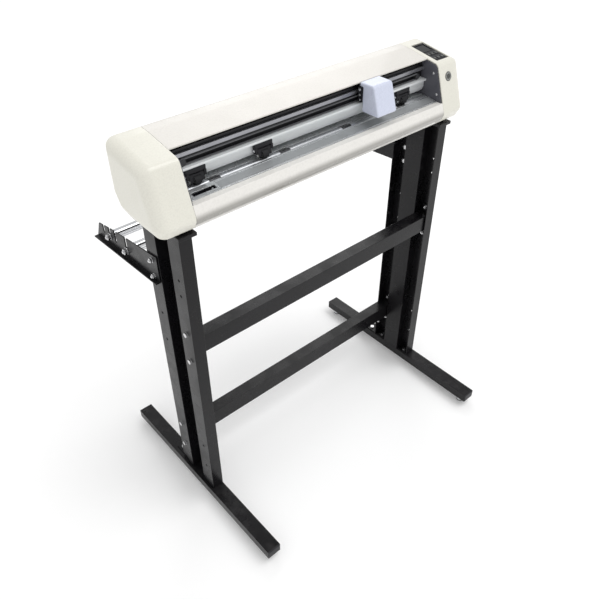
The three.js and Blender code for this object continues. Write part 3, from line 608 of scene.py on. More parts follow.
# ---- the nodes' finishes
@dataclass
class PlainParts:
    """Nodes whose shape only needs softer edges and a finish.

    Attributes:
        groups: For each finish, the nodes and the width of their rounded edges in millimetres.
    """

    groups: tuple[tuple[Finish, float, tuple[str, ...]], ...] = (
        (BLACK, 0.9, ("left_column", "right_column", "upper_crossbar", "lower_crossbar",
                      "left_roll_arm", "right_roll_arm", "chassis_pan")),
        (RAIL_STEEL, 0.5, ("guide_rail",)),
        (DARK, 0.3, ("left_side_plate", "right_side_plate")),
        (COVER_CREAM, 0.5, ("top_cover",)),
        (APRON_CREAM, 0.5, ("front_apron",)),
        (BEAM_GREY, 0.4, ("cross_beam",)),
        (BRUSHED, 0.4, ("tool_slide", "feed_pulley")),
        (KEY_PLASTIC, 0.4, ("drive_pulley", "idler_pulley")),
        (PLATEN_GREY, 0.3, ("platen",)),
        (STRIP_GREY, 0.2, ("cutting_strip",)),
        (GRIT, 0.2, ("grit_shaft",)),
        (PLASTIC, 0.5, ("panel_bezel", "power_inlet", "power_switch", "carriage_body",
                        "left_pinch_block", "middle_pinch_block", "right_pinch_block",
                        "left_pinch_arm", "middle_pinch_arm", "right_pinch_arm")),
        (KEY_PLASTIC, 0.8, ("key_left", "key_up", "key_right", "key_down", "key_pause", "key_enter")),
        (BELT, 0.3, ("feed_belt", "drive_belt")),
        (LILAC, 0.6, ("carriage_cover",)),
        (SCREEN, 0.3, ("display",)),
        (CIRCUIT, 0.3, ("control_board",)),
    )

    def build(self) -> None:
        """Soften and dress every node in the groups."""
        for finish, width, nodes in self.groups:
            for node in nodes:
                softened(node, finish, width)


# ---- shapes used by several pieces
def cleaned() -> None:
    """In edit mode, merge doubled corners, drop loose ones and turn all faces outwards."""
    bpy.ops.mesh.select_all(action="SELECT")
    bpy.ops.mesh.remove_doubles(threshold=1e-6)
    bpy.ops.mesh.delete_loose()
    bpy.ops.mesh.select_all(action="SELECT")
    bpy.ops.mesh.normals_make_consistent(inside=False)


def turned(name: str, profile: Sequence[Flat], place: Matrix, steps: int = 40) -> Piece:
    """A turned piece: a closed outline of (radius, height) in millimetres spun about +Z.

    Args:
        name: The piece's name.
        profile: Corners of the outline.
        place: Where it goes.
        steps: Facets of one turn.

    Returns:
        The piece.
    """
    piece = begin(name, bpy.ops.mesh.primitive_circle_add, vertices=len(profile), radius=1.0)
    for corner, (radius, height) in zip(piece.data.vertices, profile):
        corner.co = (radius * MM, 0.0, height * MM)
    pick(piece, "EDGE", lambda mid: True)
    bpy.ops.mesh.spin(steps=steps, angle=2 * math.pi, center=(0.0, 0.0, 0.0), axis=(0.0, 0.0, 1.0))
    cleaned()
    leave()
    piece.data.transform(place)
    return piece


def flat(name: str, corners: Sequence[Point], steps: int, place: Matrix) -> Piece:
    """A flat face with the outline of (x, y, corner radius) in millimetres.

    Args:
        name: The piece's name.
        corners: Corners of the outline.
        steps: Facets of a round corner.
        place: Where it goes.

    Returns:
        The face, as an object.
    """
    piece = begin(name, bpy.ops.mesh.primitive_circle_add, vertices=len(corners), fill_type="NGON")
    spots = [Vector((x, y, 0.0)) * MM for x, y, _ in corners]
    for corner, spot in zip(piece.data.vertices, spots):
        corner.co = spot
    for i, (_, _, radius) in enumerate(corners):
        if radius:
            here = spots[i]
            half = (spots[i - 1] - here).angle(spots[(i + 1) % len(spots)] - here) / 2
            pick(piece, "VERT", lambda co, here=here: (co - here).length < 1e-6)
            bpy.ops.mesh.bevel(offset=radius * MM / math.tan(half), segments=steps, affect="VERTICES")
            leave()
    piece.data.transform(place)
    return piece


def extruded(name: str, corners: Sequence[Point], height: float, place: Matrix, steps: int = 8) -> Piece:
    """A plate: an outline of (x, y, corner radius) in millimetres, extruded along +Z.

    Args:
        name: The piece's name.
        corners: Corners of the outline.
        height: Thickness.
        place: Where it goes.
        steps: Facets of a round corner.

    Returns:
        The piece.
    """
    piece = flat(name, corners, steps, Matrix())
    pick(piece, "FACE", lambda mid: True)
    bpy.ops.mesh.extrude_region_move(TRANSFORM_OT_translate={"value": (0.0, 0.0, height * MM)})
    cleaned()
    leave()
    piece.data.transform(place)
    return piece


def eased(piece: Piece, width_mm: float, degrees: float = 38.0) -> Piece:
    """Round a piece's sharp edges and smooth its shading."""
    limits = {"limit_method": "ANGLE", "angle_limit": math.radians(degrees), "use_clamp_overlap": True}
    modify(piece, "BEVEL", width=width_mm * MM, segments=2, **limits)
    smooth(piece)
    modify(piece, "WEIGHTED_NORMAL", keep_sharp=True)
    return piece


def rectangle(x0: float, x1: float, y0: float, y1: float, radius: float = 0.0) -> list[Point]:
    """Outline of a rectangle with round corners."""
    return [(x0, y0, radius), (x1, y0, radius), (x1, y1, radius), (x0, y1, radius)]


def polygon(sides: int, radius: float, start: float = 0.0) -> list[Point]:
    """Outline of a regular polygon, first corner at an angle in degrees."""
    angles = [math.radians(start) + 2 * math.pi * k / sides for k in range(sides)]
    return [(radius * math.cos(a), radius * math.sin(a), 0.0) for a in angles]


def ring(inner: float, outer: float, low: float, high: float) -> list[Flat]:
    """Outline of a washer for turned."""
    return [(inner, low), (outer, low), (outer, high), (inner, high)]


def thread(radius: float, low: float, high: float, pitch: float = 1.0) -> list[Flat]:
    """Outline of a threaded stud for turned, with one groove a pitch."""
    count = round((high - low) / pitch)
    bottom = radius * 0.84
    steps = 2 * count
    grooves = [(radius if k % 2 else bottom, low + k * (high - low) / steps) for k in range(steps + 1)]
    return [(0.0, low), *grooves, (0.0, high)]


def spread(name: str, pattern: Piece, places: Sequence[Matrix], finish: Finish, body: str,
           *replaced: str) -> Piece:
    """Copies of a pattern at several places, joined and dressed as one piece."""
    copies = [copied(pattern, place) for place in places]
    return dress(joined(name, copies), finish, body, *replaced)


def fasten(name: str, pattern: Piece, places: Sequence[Matrix]) -> Piece:
    """Copies of a bright fastener on the fixed frame."""
    return spread(name, pattern, places, BRIGHT, FRAME_BODY)


@dataclass(frozen=True)
class Fastener:
    """A hexagon nut or head on its washer, standing on z = 0.

    Attributes:
        across: Across flats, in millimetres.
        height: Height of the hexagon.
        washer: Radius of the washer.
        washer_height: Its thickness.
        screw: Radius of the screw.
        tail: Length of screw that stands out of the nut, 0 for a head.
    """

    across: float = 10.0
    height: float = 4.6
    washer: float = 6.3
    washer_height: float = 1.2
    screw: float = 3.0
    tail: float = 3.0

    def pattern(self) -> Piece:
        """Model it once, for copying."""
        top = self.washer_height + self.height
        pieces = [turned("washer", ring(self.screw - 0.5, self.washer, 0.0, self.washer_height), Matrix())]
        corner = self.across / math.sqrt(3)
        pieces.append(extruded("hexagon", polygon(6, corner), self.height, lifted(self.washer_height)))
        if self.tail:
            pieces.append(turned("screw_end", thread(self.screw, top - 1, top + self.tail), Matrix(), 20))
        return eased(joined("fastener", pieces), 0.4)


@dataclass(frozen=True)
class PanScrew:
    """A round screw head with a cross recess, standing on z = 0.

    Attributes:
        radius: Radius of the head, in millimetres.
        height: Height of its crown.
        recess: Depth of the cross.
        arm: Half of the width of the cross's arms.
        reach: Share of the head's radius that the arms take.
    """

    radius: float = 3.4
    height: float = 1.8
    recess: float = 0.9
    arm: float = 0.45
    reach: float = 0.55

    def pattern(self) -> Piece:
        """Model it once, for copying."""
        outline = ((1.0, 0.0), (1.0, 0.35), (0.8, 0.8), (0.5, 1.0))
        crown = [(0.0, 0.0), *((self.radius * r, self.height * h) for r, h in outline), (0.0, self.height)]
        head = turned("screw_head", crown, Matrix(), 28)
        for long, wide in ((self.radius, self.arm), (self.arm, self.radius)):
            x, y = long * self.reach, wide * self.reach
            cut(head, extruded("slot", rectangle(-x, x, -y, y), 3.0, lifted(self.height - self.recess)))
        smooth(head)
        return head


# ---- floor stand
@dataclass
class StandHardware:
    """Fasteners and small plates of the stand.

    Attributes:
        face: Outer face of the columns.
        inner: Inner face of the crossbars' end tabs.
        arm: Outer face of the roll arms.
        row: Bolt rows, from the column's middle.
        foot: Top of the feet.
        plate: Thickness of the base plates.
        middle: Middle of a column, along the machine.
        flange: Rear face of a column.
        bars: Each crossbar, the row that holds it and the heights of its bolts.
        arm_bolts: Heights of the roll arms' bolts.
        arm_seat: How deep the heads of those bolts sit.
        ends: How far a base plate reaches to both sides.
        half: Half of a base plate's depth.
        gusset: Depth, height and width of the bent plate behind a column.
        toe_bolt: Depth of the bolt through the bent plate's foot.
        flange_bolt: Height of the bolt through its upright.
        flange_nut: Offset and depth of that bolt's nut.
    """

    face: float = 400.0
    inner: float = 395.0
    arm: float = 403.3
    row: float = 49.0
    foot: float = 45.3
    plate: float = 3.0
    middle: float = 384.0
    flange: float = 71.2
    bars: tuple[tuple[str, int, Flat], ...] = (
        ("upper_crossbar", -1, (506.0, 587.0)), ("lower_crossbar", 1, (125.0, 206.0)))
    arm_bolts: Flat = (693.0, 734.0)
    arm_seat: float = 2.2
    ends: Flat = (12.0, 11.0)
    half: float = 17.0
    gusset: Point = (112.0, 122.0, 24.0)
    toe_bolt: float = 96.0
    flange_bolt: float = 100.0
    flange_nut: Flat = (6.0, 68.8)

    def build(self) -> None:
        """Make the fasteners once and copy them to their places."""
        nut = Fastener().pattern()
        head = Fastener(across=11.0, height=4.0, tail=0.0).pattern()
        for bar, end, heights in self.bars:
            spots = [(side, end * self.row, z) for side in SIDES for z in heights]
            fasten(f"{bar}_bolt_heads", head, [outward(s, self.face, y, z) for s, y, z in spots])
            fasten(f"{bar}_nuts", nut, [inward(s, self.inner, y, z) for s, y, z in spots])
        spots = [(side, z) for side in SIDES for z in self.arm_bolts]
        fasten("roll_arm_nuts", nut, [outward(s, self.arm, self.row, z) for s, z in spots])
        back = Matrix.Rotation(math.pi, 4, "X")
        heads = [outward(s, self.face - self.arm_seat, self.row, z) @ back for s, z in spots]
        fasten("roll_arm_bolt_heads", head, heads)
        for name, side in SIDES.items():
            self.base(name, side, head, nut)
        remove(nut)
        remove(head)

    def base(self, name: str, side: int, head: Piece, nut: Piece) -> None:
        """Plates that hold one column on its foot, with their bolts."""
        x = side * self.middle
        top = self.foot + self.plate
        rear = self.flange + self.plate
        near, far = x - self.ends[0], x + self.ends[1]
        rows = (-self.row, self.row)
        sides = [rectangle(near, far, y - self.half, y + self.half, 2.0) for y in rows]
        pieces = [extruded("base_plate", side, self.plate, lifted(self.foot)) for side in sides]
        depth, height, width = self.gusset
        bend = [(self.flange, self.foot, 0.0), (depth, self.foot, 0.0), (depth, top, 0.0), (rear, top, 2.0),
                (rear, height, 0.0), (self.flange, height, 0.0)]
        pieces.append(extruded("gusset", bend, width, moved(near, 0.0, 0.0) @ LENGTHWISE))
        dress(eased(joined(f"{name}_base_plates", pieces), 0.6), BLACK)
        places = [toward(Facing.UP, (x, y, top)) for y in (*rows, self.toe_bolt)]
        places.append(toward(Facing.BACK, (x, rear, self.flange_bolt)))
        fasten(f"{name}_base_bolts", head, places)
        offset, y = self.flange_nut
        place = toward(Facing.FRONT, (x - side * offset, y, self.flange_bolt))
        fasten(f"{name}_flange_nut", nut, [place])


@dataclass
class Feet:
    """Steel tubes of the feet with plastic plugs in their ends, and the levellers.

    Attributes:
        plug: Thickness of the plug's flange, in millimetres.
        round: Rounding of the flange's outer edge.
        sides: Rounding of its long edges.
        sole: Outline of a leveller's rubber sole.
        dome: Outline of the bright dome over it.
        stud: Radius, lower end and upper end of the threaded stud.
        lock_nut: Corner radius, thickness and height of the nut on the stud.
    """

    plug: float = 3.2
    round: float = 2.4
    sides: float = 0.8
    sole: tuple[Flat, ...] = ((0.0, 0.0), (10.2, 0.0), (11.0, 0.8), (11.0, 2.6), (10.4, 3.1), (0.0, 3.1))
    dome: tuple[Flat, ...] = ((0.0, 3.1), (10.7, 3.1), (10.8, 5.0), (10.2, 8.0), (9.0, 11.4), (7.2, 14.4),
                              (5.4, 16.0), (0.0, 16.0))
    stud: Point = (4.0, 15.8, 36.0)
    lock_nut: Point = (7.2, 3.3, 16.3)

    def build(self) -> None:
        """Make both feet and the four levellers."""
        for name in SIDES:
            node = f"{name}_foot"
            low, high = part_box(node)
            tube = whole(node, f"{node}_tube")
            pick(tube, "FACE", lambda mid: True)
            ends = {"front": (low.y + self.plug * MM, low.y), "rear": (high.y - self.plug * MM, high.y)}
            for end, (seat, _) in ends.items():
                bpy.ops.mesh.select_all(action="SELECT")
                bpy.ops.mesh.bisect(plane_co=(0.0, seat, 0.0), plane_no=(0.0, 1.0, 0.0), use_fill=True,
                                    clear_inner=end == "front", clear_outer=end == "rear")
            leave()
            dress(eased(tube, 0.9), BLACK, FRAME_BODY, node)
            for end, (seat, tip) in ends.items():
                self.end_plug(f"{name}_foot_{end}_plug", low, high, seat, tip)
            for end in ends:
                self.leveller(f"{name}_{end}_leveller")

    def end_plug(self, name: str, low: Vector, high: Vector, seat: float, tip: float) -> None:
        """A plug whose flange covers the tube's end."""
        size = (high.x - low.x, abs(tip - seat), high.z - low.z)
        centre = ((low.x + high.x) / 2, (seat + tip) / 2, (low.z + high.z) / 2)
        piece = begin(name, bpy.ops.mesh.primitive_cube_add, size=1.0, location=centre, scale=size)
        pick(piece, "EDGE", lambda mid: abs(mid.y - tip) < 1e-5)
        bpy.ops.mesh.bevel(offset=self.round * MM, segments=5)
        leave()
        pick(piece, "EDGE", lambda mid: abs(mid.y - (seat + tip) / 2) < 1e-4)
        bpy.ops.mesh.bevel(offset=self.sides * MM, segments=2)
        leave()
        smooth(piece)
        dress(piece, PLASTIC)

    def leveller(self, node: str) -> None:
        """A swivel foot: rubber sole, bright dome, threaded stud and lock nut."""
        spot = middle(node)
        place = Matrix.Translation((spot.x, spot.y, 0.0))
        dress(eased(turned(f"{node}_sole", self.sole, place), 0.3), RUBBER, node)
        corner, thick, height = self.lock_nut
        parts = [turned("dome", self.dome, place),
                 turned("stud", thread(*self.stud, COARSE_PITCH), place, 24),
                 extruded("lock_nut", polygon(6, corner), thick, place @ lifted(height))]
        dress(eased(joined(f"{node}_dome", parts), 0.3), CHROME, node, node)


@dataclass
class RollHolder:
    """Two tubes on threaded rods behind the stand.

    Attributes:
        tube: Outer radius of a tube.
        wall: Its wall.
        end: Half of a tube's length.
        rod: Radius of the rod through it.
        arm: Inner and outer face of an arm.
        washer: Radius of the washers and spacers.
        washer_height: Thickness of a washer.
        tip: Where a rod ends.
        gap: Play between pieces that face each other.
        plug: Length of a bearing plug.
        collar: Radii of the plug's collar.
        nut: Corner radius and thickness of the nuts.
    """

    tube: float = 12.5
    wall: float = 1.5
    end: float = 396.0
    rod: float = 4.0
    arm: tuple[float, float] = (400.3, 403.3)
    washer: float = 8.5
    washer_height: float = 1.6
    tip: float = 415.0
    gap: float = 0.3
    plug: float = 14.0
    collar: Flat = (9.4, 8.8)
    nut: Flat = (7.5, 6.8)

    def build(self) -> None:
        """Make both rollers and their axles."""
        for name in ("front", "rear"):
            spot = middle(f"{name}_roller")
            sides = [toward(face, (0.0, spot.y / MM, spot.z / MM)) for face in (Facing.LEFT, Facing.RIGHT)]
            self.roller(f"{name}_roller", sides)
            self.axle(f"{name}_axle", sides)

    def roller(self, node: str, sides: list[Matrix]) -> None:
        """One tube with a bearing plug pressed into each end."""
        bore = self.tube - self.wall
        tube = turned(f"{node}_tube", ring(bore, self.tube, -self.end, self.end), sides[1], 56)
        dress(eased(tube, 0.5), CHROME, node, node)
        hole = self.rod + 0.1
        inner, outer, face = self.end - self.plug, self.end - 1.0, self.end - self.gap
        wide, narrow = self.collar
        profile = [(hole, inner), (bore, inner), (bore, outer), (wide, outer), (narrow, face), (hole, face)]
        plug = eased(turned("plug", profile, Matrix()), 0.3)
        spread(f"{node}_end_plugs", plug, sides, PLASTIC, node)
        remove(plug)

    def axle(self, node: str, sides: list[Matrix]) -> None:
        """The rod through a tube, with its spacers, washers and nuts outside the arms."""
        inside, outside = self.arm
        hole = self.rod - self.gap
        washer = outside + self.gap
        nut = washer + self.washer_height
        corner, thick = self.nut
        end = [
            turned("spacer", ring(hole, self.washer, self.end + self.gap, inside - self.gap), Matrix()),
            turned("washer", ring(hole, self.washer, washer, nut), Matrix()),
            extruded("nut", polygon(6, corner), thick, lifted(nut)),
            turned("thread", thread(self.rod, self.end - 1, self.tip, COARSE_PITCH), Matrix(), 24),
        ]
        pattern = eased(joined("axle_end", end), 0.4)
        rod = turned("rod", ring(0.0, self.rod, -self.end, self.end), sides[0], 32)
        smooth(rod)
        pieces = [rod] + [copied(pattern, place) for place in sides]
        remove(pattern)
        dress(joined(f"{node}_rod_and_nuts", pieces), BRIGHT, FRAME_BODY, node)


# ---- casing of the head
@dataclass
class EndCaps:
    """Moulded caps on the two ends of the head, finely rounded.

    Attributes:
        outline: Outline of the head in the Y-Z plane, above its underside, as (y, z, radius).
        inner: Where a cap starts, from the machine's middle.
        width: Its length along the machine.
        round: Rounding of its outer edge.
        tightest: Least corner radius of the end face.
        steps: Sections round the outer edge.
        wall: Its thickness.
        inlet: Depths and heights of the power inlet's opening.
        panel: Half of the width and of the length of the panel's opening.
        button: Radius of the round button's opening.
        reach: How far the inlet's opening reaches in from the outer face.
    """

    outline: tuple[Point, ...] = (
        (-48.0, 141.0, 15.0), (-86.0, 28.0, 14.0), (-73.0, 3.1, 13.0), (22.0, 3.1, 60.0),
        (66.0, 12.0, 24.0), (89.0, 50.0, 30.0), (89.0, 160.5, 13.0), (55.0, 158.0, 30.0))
    inner: float = 363.0
    width: float = 82.0
    round: float = 27.0
    tightest: float = 3.0
    steps: int = 9
    wall: float = 3.0
    inlet: tuple[float, float, float, float] = (-28.0, 0.0, 28.0, 92.0)
    panel: Flat = (22.5, 43.0)
    button: float = 11.3
    reach: float = 9.0

    def build(self) -> None:
        """Make both caps, and the openings of the right one."""
        for name, side in SIDES.items():
            node = f"{name}_end_cap"
            piece = self.shell(f"{node}_moulding", side)
            if side > 0:
                for tool in self.openings():
                    cut(piece, tool)
            dress(eased(piece, 0.45), CREAM, FRAME_BODY, node)

    def section(self, name: str, inset: float, x: float) -> Piece:
        """The cap's outline moved inwards and put at a place along the machine.

        Args:
            name: The section's name.
            inset: How far its sides move inwards, in millimetres.
            x: Its place along the machine.

        Returns:
            A flat face.
        """
        spots = [Vector((y, z)) for y, z, _ in self.outline]
        corners = []
        for i, (y, z, radius) in enumerate(self.outline):
            here = spots[i]
            to_last = (spots[i - 1] - here).normalized()
            to_next = (spots[(i + 1) % len(spots)] - here).normalized()
            half = to_last.angle(to_next) / 2
            spot = here + (to_last + to_next).normalized() * (inset / math.sin(half))
            corners.append((spot.x, spot.y, max(radius - inset, self.tightest)))
        return flat(name, corners, 10, moved(x, 0.0, HEAD_BASE) @ LENGTHWISE)

    def shell(self, name: str, side: int) -> Piece:
        """One cap: sections bridged from its inner end round its soft outer edge, then hollowed."""
        start = self.inner + self.width - self.round
        turns = [math.pi / 2 * k / self.steps for k in range(self.steps + 1)]
        rows = [(0.0, self.inner)]
        rows += [(self.round * (1 - math.cos(a)), start + self.round * math.sin(a)) for a in turns]
        sections = [self.section("section", inset, side * x) for inset, x in rows]
        for face in sections[:-1]:
            pick(face, "FACE", lambda mid: True)
            bpy.ops.mesh.delete(type="ONLY_FACE")
            leave()
        piece = joined(name, sections)
        pick(piece, "EDGE", lambda mid: True)
        bpy.ops.mesh.bridge_edge_loops()
        cleaned()
        leave()
        modify(piece, "SOLIDIFY", thickness=self.wall * MM, offset=-1.0, use_even_offset=True)
        return piece

    def openings(self) -> list[Piece]:
        """Solids of the holes for the panel, the round button and the power inlet."""
        y0, y1, z0, z1 = self.inlet
        x, y = self.panel
        panel = extruded("panel_hole", rectangle(-x, x, -y, y, 2.0), 16.0, PANEL_FRAME @ lifted(-8.0))
        button = extruded("button_hole", polygon(48, self.button), 18.0, BUTTON_FRAME @ lifted(-9.0))
        place = moved(self.inner + self.width - self.reach, 0.0, HEAD_BASE) @ LENGTHWISE
        inlet = extruded("inlet_hole", rectangle(y0, y1, z0, z1, 0.8), 12.0, place)
        return [panel, button, inlet]


# ---- paper path
@dataclass
class PaperPath:
    """Bright edges of the platen, the black parking slot and the screws of the side plates.

    Attributes:
        start: Where the cutting strip starts along the machine.
        end: Where the platen ends.
        edges: Depth and height of the bright edges.
        slot: The parking slot: its ends, front and rear.
        under: Height of the platen's face.
        tray: Depth of the slot's tray.
        wall: Thickness of the tray's walls and of its floor.
        pin: Outline of the post in the slot.
        pin_seat: How deep the post stands, and how far from the slot's end.
        screws: Depth and height of the side plates' screws.
        plate: Inner face of a side plate.
    """

    start: float = -283.0
    end: float = 359.7
    edges: tuple[Flat, ...] = ((-33.2, 60.0), (-57.3, 56.1))
    slot: tuple[float, float, float, float] = (-343.0, -289.0, -51.0, -40.0)
    under: float = 54.6
    tray: float = 9.0
    wall: Flat = (1.4, 1.5)
    pin: tuple[Flat, ...] = ((0.0, 0.0), (2.4, 0.0), (2.4, 7.0), (1.9, 8.2), (0.0, 8.6))
    pin_seat: Flat = (7.4, 7.0)
    screws: tuple[Flat, ...] = ((-39.0, 119.0), (-56.0, 72.0))
    plate: float = 360.0

    def build(self) -> None:
        """Make all of them."""
        along = moved(self.start, 0.0, HEAD_BASE) @ LENGTHWISE
        outlines = [rectangle(y - 0.9, y + 0.9, z - 0.5, z + 0.75, 0.3) for y, z in self.edges]
        bars = [extruded("edge", outline, self.end - self.start, along, 2) for outline in outlines]
        for bar in bars:
            smooth(bar)
        dress(joined("cutting_strip_edges", bars), CHROME)
        x0, x1, y0, y1 = self.slot
        wall, floor = self.wall
        top = HEAD_BASE + self.under
        outline = rectangle(x0 - wall, x1 + wall, y0 - wall, y1 + wall, 2.0)
        tray = extruded("parking_slot_tray", outline, self.tray, lifted(top - self.tray))
        pick(tray, "FACE", lambda mid: mid.z > top * MM - 1e-5)
        bpy.ops.mesh.inset(thickness=wall * MM)
        sunk = (floor - self.tray) * MM
        bpy.ops.mesh.extrude_region_move(TRANSFORM_OT_translate={"value": (0.0, 0.0, sunk)})
        leave()
        dress(eased(tray, 0.2), PLASTIC)
        down, back = self.pin_seat
        post = turned("parking_slot_pin", self.pin, moved(x1 - back, (y0 + y1) / 2, top - down), 28)
        smooth(post)
        dress(post, CHROME)
        screw = PanScrew().pattern()
        places = [inward(side, self.plate, y, HEAD_BASE + z) for side in SIDES for y, z in self.screws]
        fasten("side_plate_screws", screw, places)
        remove(screw)


# ---- carriage and pinch rollers
@dataclass
class CarriageParts:
    """Bearing plate beside the carriage and the blade holder.

    Attributes:
        plate: Depths and heights of the bearing plate.
        sides: Where it starts and ends along the machine.
        bearings: Depth, height and radius of its bearings.
    """

    plate: tuple[float, float, float, float] = (-27.0, -13.4, 954.6, 990.0)
    sides: Flat = (129.2, 131.7)
    bearings: tuple[Point, ...] = ((-19.0, 983.0, 3.6), (-20.0, 970.5, 3.0), (-21.0, 960.0, 2.4))

    def build(self) -> None:
        """Make the plate, its bearings and the holder."""
        near, far = self.sides
        along = moved(near, 0.0, 0.0) @ LENGTHWISE
        plate = extruded("carriage_bearing_plate", rectangle(*self.plate, 3.0), far - near, along)
        dress(eased(plate, 0.4), PLASTIC, "carriage")
        rings = []
        for y, z, radius in self.bearings:
            profile = [(0.0, 0.0), (radius, 0.0), (radius, 0.8), (radius * 0.72, 0.8), (radius * 0.66, 0.5),
                       (radius * 0.45, 0.5), (radius * 0.4, 0.9), (0.0, 0.9)]
            rings.append(turned("bearing", profile, toward(Facing.LEFT, (near, y, z)), 28))
        dress(eased(joined("carriage_bearings", rings), 0.1), CHROME, "carriage")
        self.holder()

    def holder(self) -> None:
        """Blade holder: a turned body with a grooved collar and a knob."""
        spot = middle("blade_holder")
        base, top = (corner.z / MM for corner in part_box("blade_holder"))
        knob = top - 8
        grooves = [(r, knob - 26 + 1.5 * k) for k, r in enumerate((5.5, 4.9, 4.9, 5.5) * 3)]
        ridges = [(7.5 if k % 2 else 6.9, knob + 0.6 + k) for k in range(7)]
        tip = [(0.0, base), (0.4, base), (1.2, base + 3), (3.4, base + 5), (5.5, base + 12)]
        profile = [*tip, *grooves, (5.5, knob), *ridges, (6.4, top), (0.0, top)]
        piece = turned("blade_holder_body", profile, Matrix.Translation((spot.x, spot.y, 0.0)), 32)
        smooth(piece)
        dress(piece, CHROME, "blade_holder", "blade_holder")


@dataclass
class PinchParts:
    """Rubber rings, hubs and pins of the three pinch rollers.

    Attributes:
        wheel: Radius of a wheel.
        half: Half of its width.
        hub: Radius of its hub.
        cheek: Outer face of the arm's cheeks, from the roller's middle.
        ear: Outer face of the block's ears.
        pivot: Depth and height of the hinge.
        boss: Outline of the boss on a cheek.
        cap: Outline of a pin's head.
    """

    wheel: float = 8.5
    half: float = 7.5
    hub: float = 5.4
    cheek: float = 16.8
    ear: float = 23.0
    pivot: Flat = (-19.0, 931.7)
    boss: tuple[Flat, ...] = ((0.0, 0.0), (4.4, 0.0), (4.2, 0.9), (0.0, 0.9))
    cap: tuple[Flat, ...] = ((0.0, 0.0), (2.9, 0.0), (2.9, 1.2), (2.2, 1.7), (0.0, 1.7))

    def build(self) -> None:
        """Make the details of every pinch roller from patterns."""
        tyre = eased(turned("tyre", ring(self.hub, self.wheel, -self.half, self.half), Matrix(), 48), 0.7)
        outer = self.half - 0.3
        hub = eased(turned("hub", ring(1.6, self.hub, -outer, outer), Matrix(), 36), 0.3)
        boss = eased(turned("boss", self.boss, Matrix(), 32), 0.2)
        cap = eased(turned("cap", self.cap, Matrix(), 28), 0.2)
        for name in ("left", "middle", "right"):
            self.roller(name, tyre, hub, boss, cap)
        for pattern in (tyre, hub, boss, cap):
            remove(pattern)

    def roller(self, name: str, tyre: Piece, hub: Piece, boss: Piece,
               cap: Piece) -> None:
        """Details of one pinch roller."""
        wheel, arm, block = (f"{name}_pinch_{part}" for part in ("wheel", "arm", "block"))
        spot = middle(wheel) / MM
        across = toward(Facing.RIGHT, tuple(spot))
        spread(f"{wheel}_tyre", tyre, [across], RUBBER, wheel, wheel)
        spread(f"{wheel}_hub", hub, [across], GREY, wheel)
        ends = self.both(spot.x, self.cheek, spot.y, spot.z)
        spread(f"{arm}_bosses", boss, ends, GREY, arm)
        spread(f"{arm}_axle_caps", cap, ends, CHROME, arm)
        spread(f"{block}_pin_heads", cap, self.both(spot.x, self.ear, *self.pivot), CHROME, block)

    @staticmethod
    def both(x: float, reach: float, y: float, z: float) -> list[Matrix]:
        """Places at both ends of something that lies along the machine."""
        return [toward(face, (x + face.value[0] * reach, y, z)) for face in (Facing.LEFT, Facing.RIGHT)]


# ---- controls
@dataclass
class ControlPanel:
    """Raised marks of the keys, the frame of the display and the face of the round button.

    Attributes:
        crown: Height of the keys' tops in the panel's frame.
        face: Height of the display's face.
        pitch: Distance between key columns.
        rows: Where the two rows of keys lie.
        mark: Thickness of a mark.
        arrow: Corner radius of an arrow.
        dot: Radius of the dot.
        bars: Middle, half width and half length of the two bars.
        rim: Sides of the display's frame, then its corner radius.
        window: Sides of its opening, then the corner radius.
        dish: Outline of the round button.
    """

    crown: float = -1.3
    face: float = -2.5
    pitch: float = 13.0
    rows: tuple[float, float] = (-9.0, -29.0)
    mark: float = 0.25
    arrow: float = 2.9
    dot: float = 2.3
    bars: Point = (1.6, 0.7, 2.4)
    rim: tuple[float, ...] = (-20.0, 20.0, 4.2, 39.8, 2.4)
    window: tuple[float, ...] = (-17.4, 17.4, 6.6, 37.4, 1.2)
    dish: tuple[Flat, ...] = (
        (0.0, -5.0), (11.0, -5.0), (11.0, 0.1), (10.1, 1.0), (8.4, 1.0), (7.4, 0.4), (0.0, 0.2))

    def build(self) -> None:
        """Make the marks, the frame and the button."""
        keys = {"key_left": (-1, 0, 180.0), "key_up": (0, 0, 90.0), "key_right": (1, 0, 0.0),
                "key_down": (-1, 1, 270.0), "key_pause": (0, 1, None), "key_enter": (1, 1, None)}
        for node, (column, row, angle) in keys.items():
            place = PANEL_FRAME @ moved(column * self.pitch, self.rows[row], self.crown)
            if angle is not None:
                shapes = [polygon(3, self.arrow, angle)]
            elif node == "key_pause":
                away, half, long = self.bars
                shapes = [rectangle(x - half, x + half, -long, long) for x in (-away, away)]
            else:
                shapes = [polygon(24, self.dot)]
            parts = [extruded("mark", shape, self.mark, place) for shape in shapes]
            dress(eased(joined(f"{node}_mark", parts), 0.06), GREY, node)
        self.display_frame()
        self.button()

    def display_frame(self) -> None:
        """A thin raised frame round the display."""
        piece = extruded("display_frame", rectangle(*self.rim), 0.7, PANEL_FRAME @ lifted(self.face))
        cut(piece, extruded("window", rectangle(*self.window), 4.0, PANEL_FRAME @ lifted(self.face - 2)))
        dress(eased(piece, 0.2), PLASTIC)

    def button(self) -> None:
        """Round button with a dished face and a dark ring."""
        piece = turned("front_button_cap", self.dish, BUTTON_FRAME, 56)
        dress(eased(piece, 0.15), GREY, "front_button", "front_button")
        inlay = [turned("ring", ring(3.4, 4.5, 0.1, 0.75), BUTTON_FRAME, 40),
                 turned("dot", ring(0.0, 1.2, 0.1, 0.8), BUTTON_FRAME, 20)]
        dress(eased(joined("front_button_inlay", inlay), 0.1), PLASTIC, "front_button")
        rim = turned("front_button_rim", ring(7.5, 8.3, 0.3, 1.05), BUTTON_FRAME, 56)
        dress(eased(rim, 0.1), BRIGHT, "front_button")


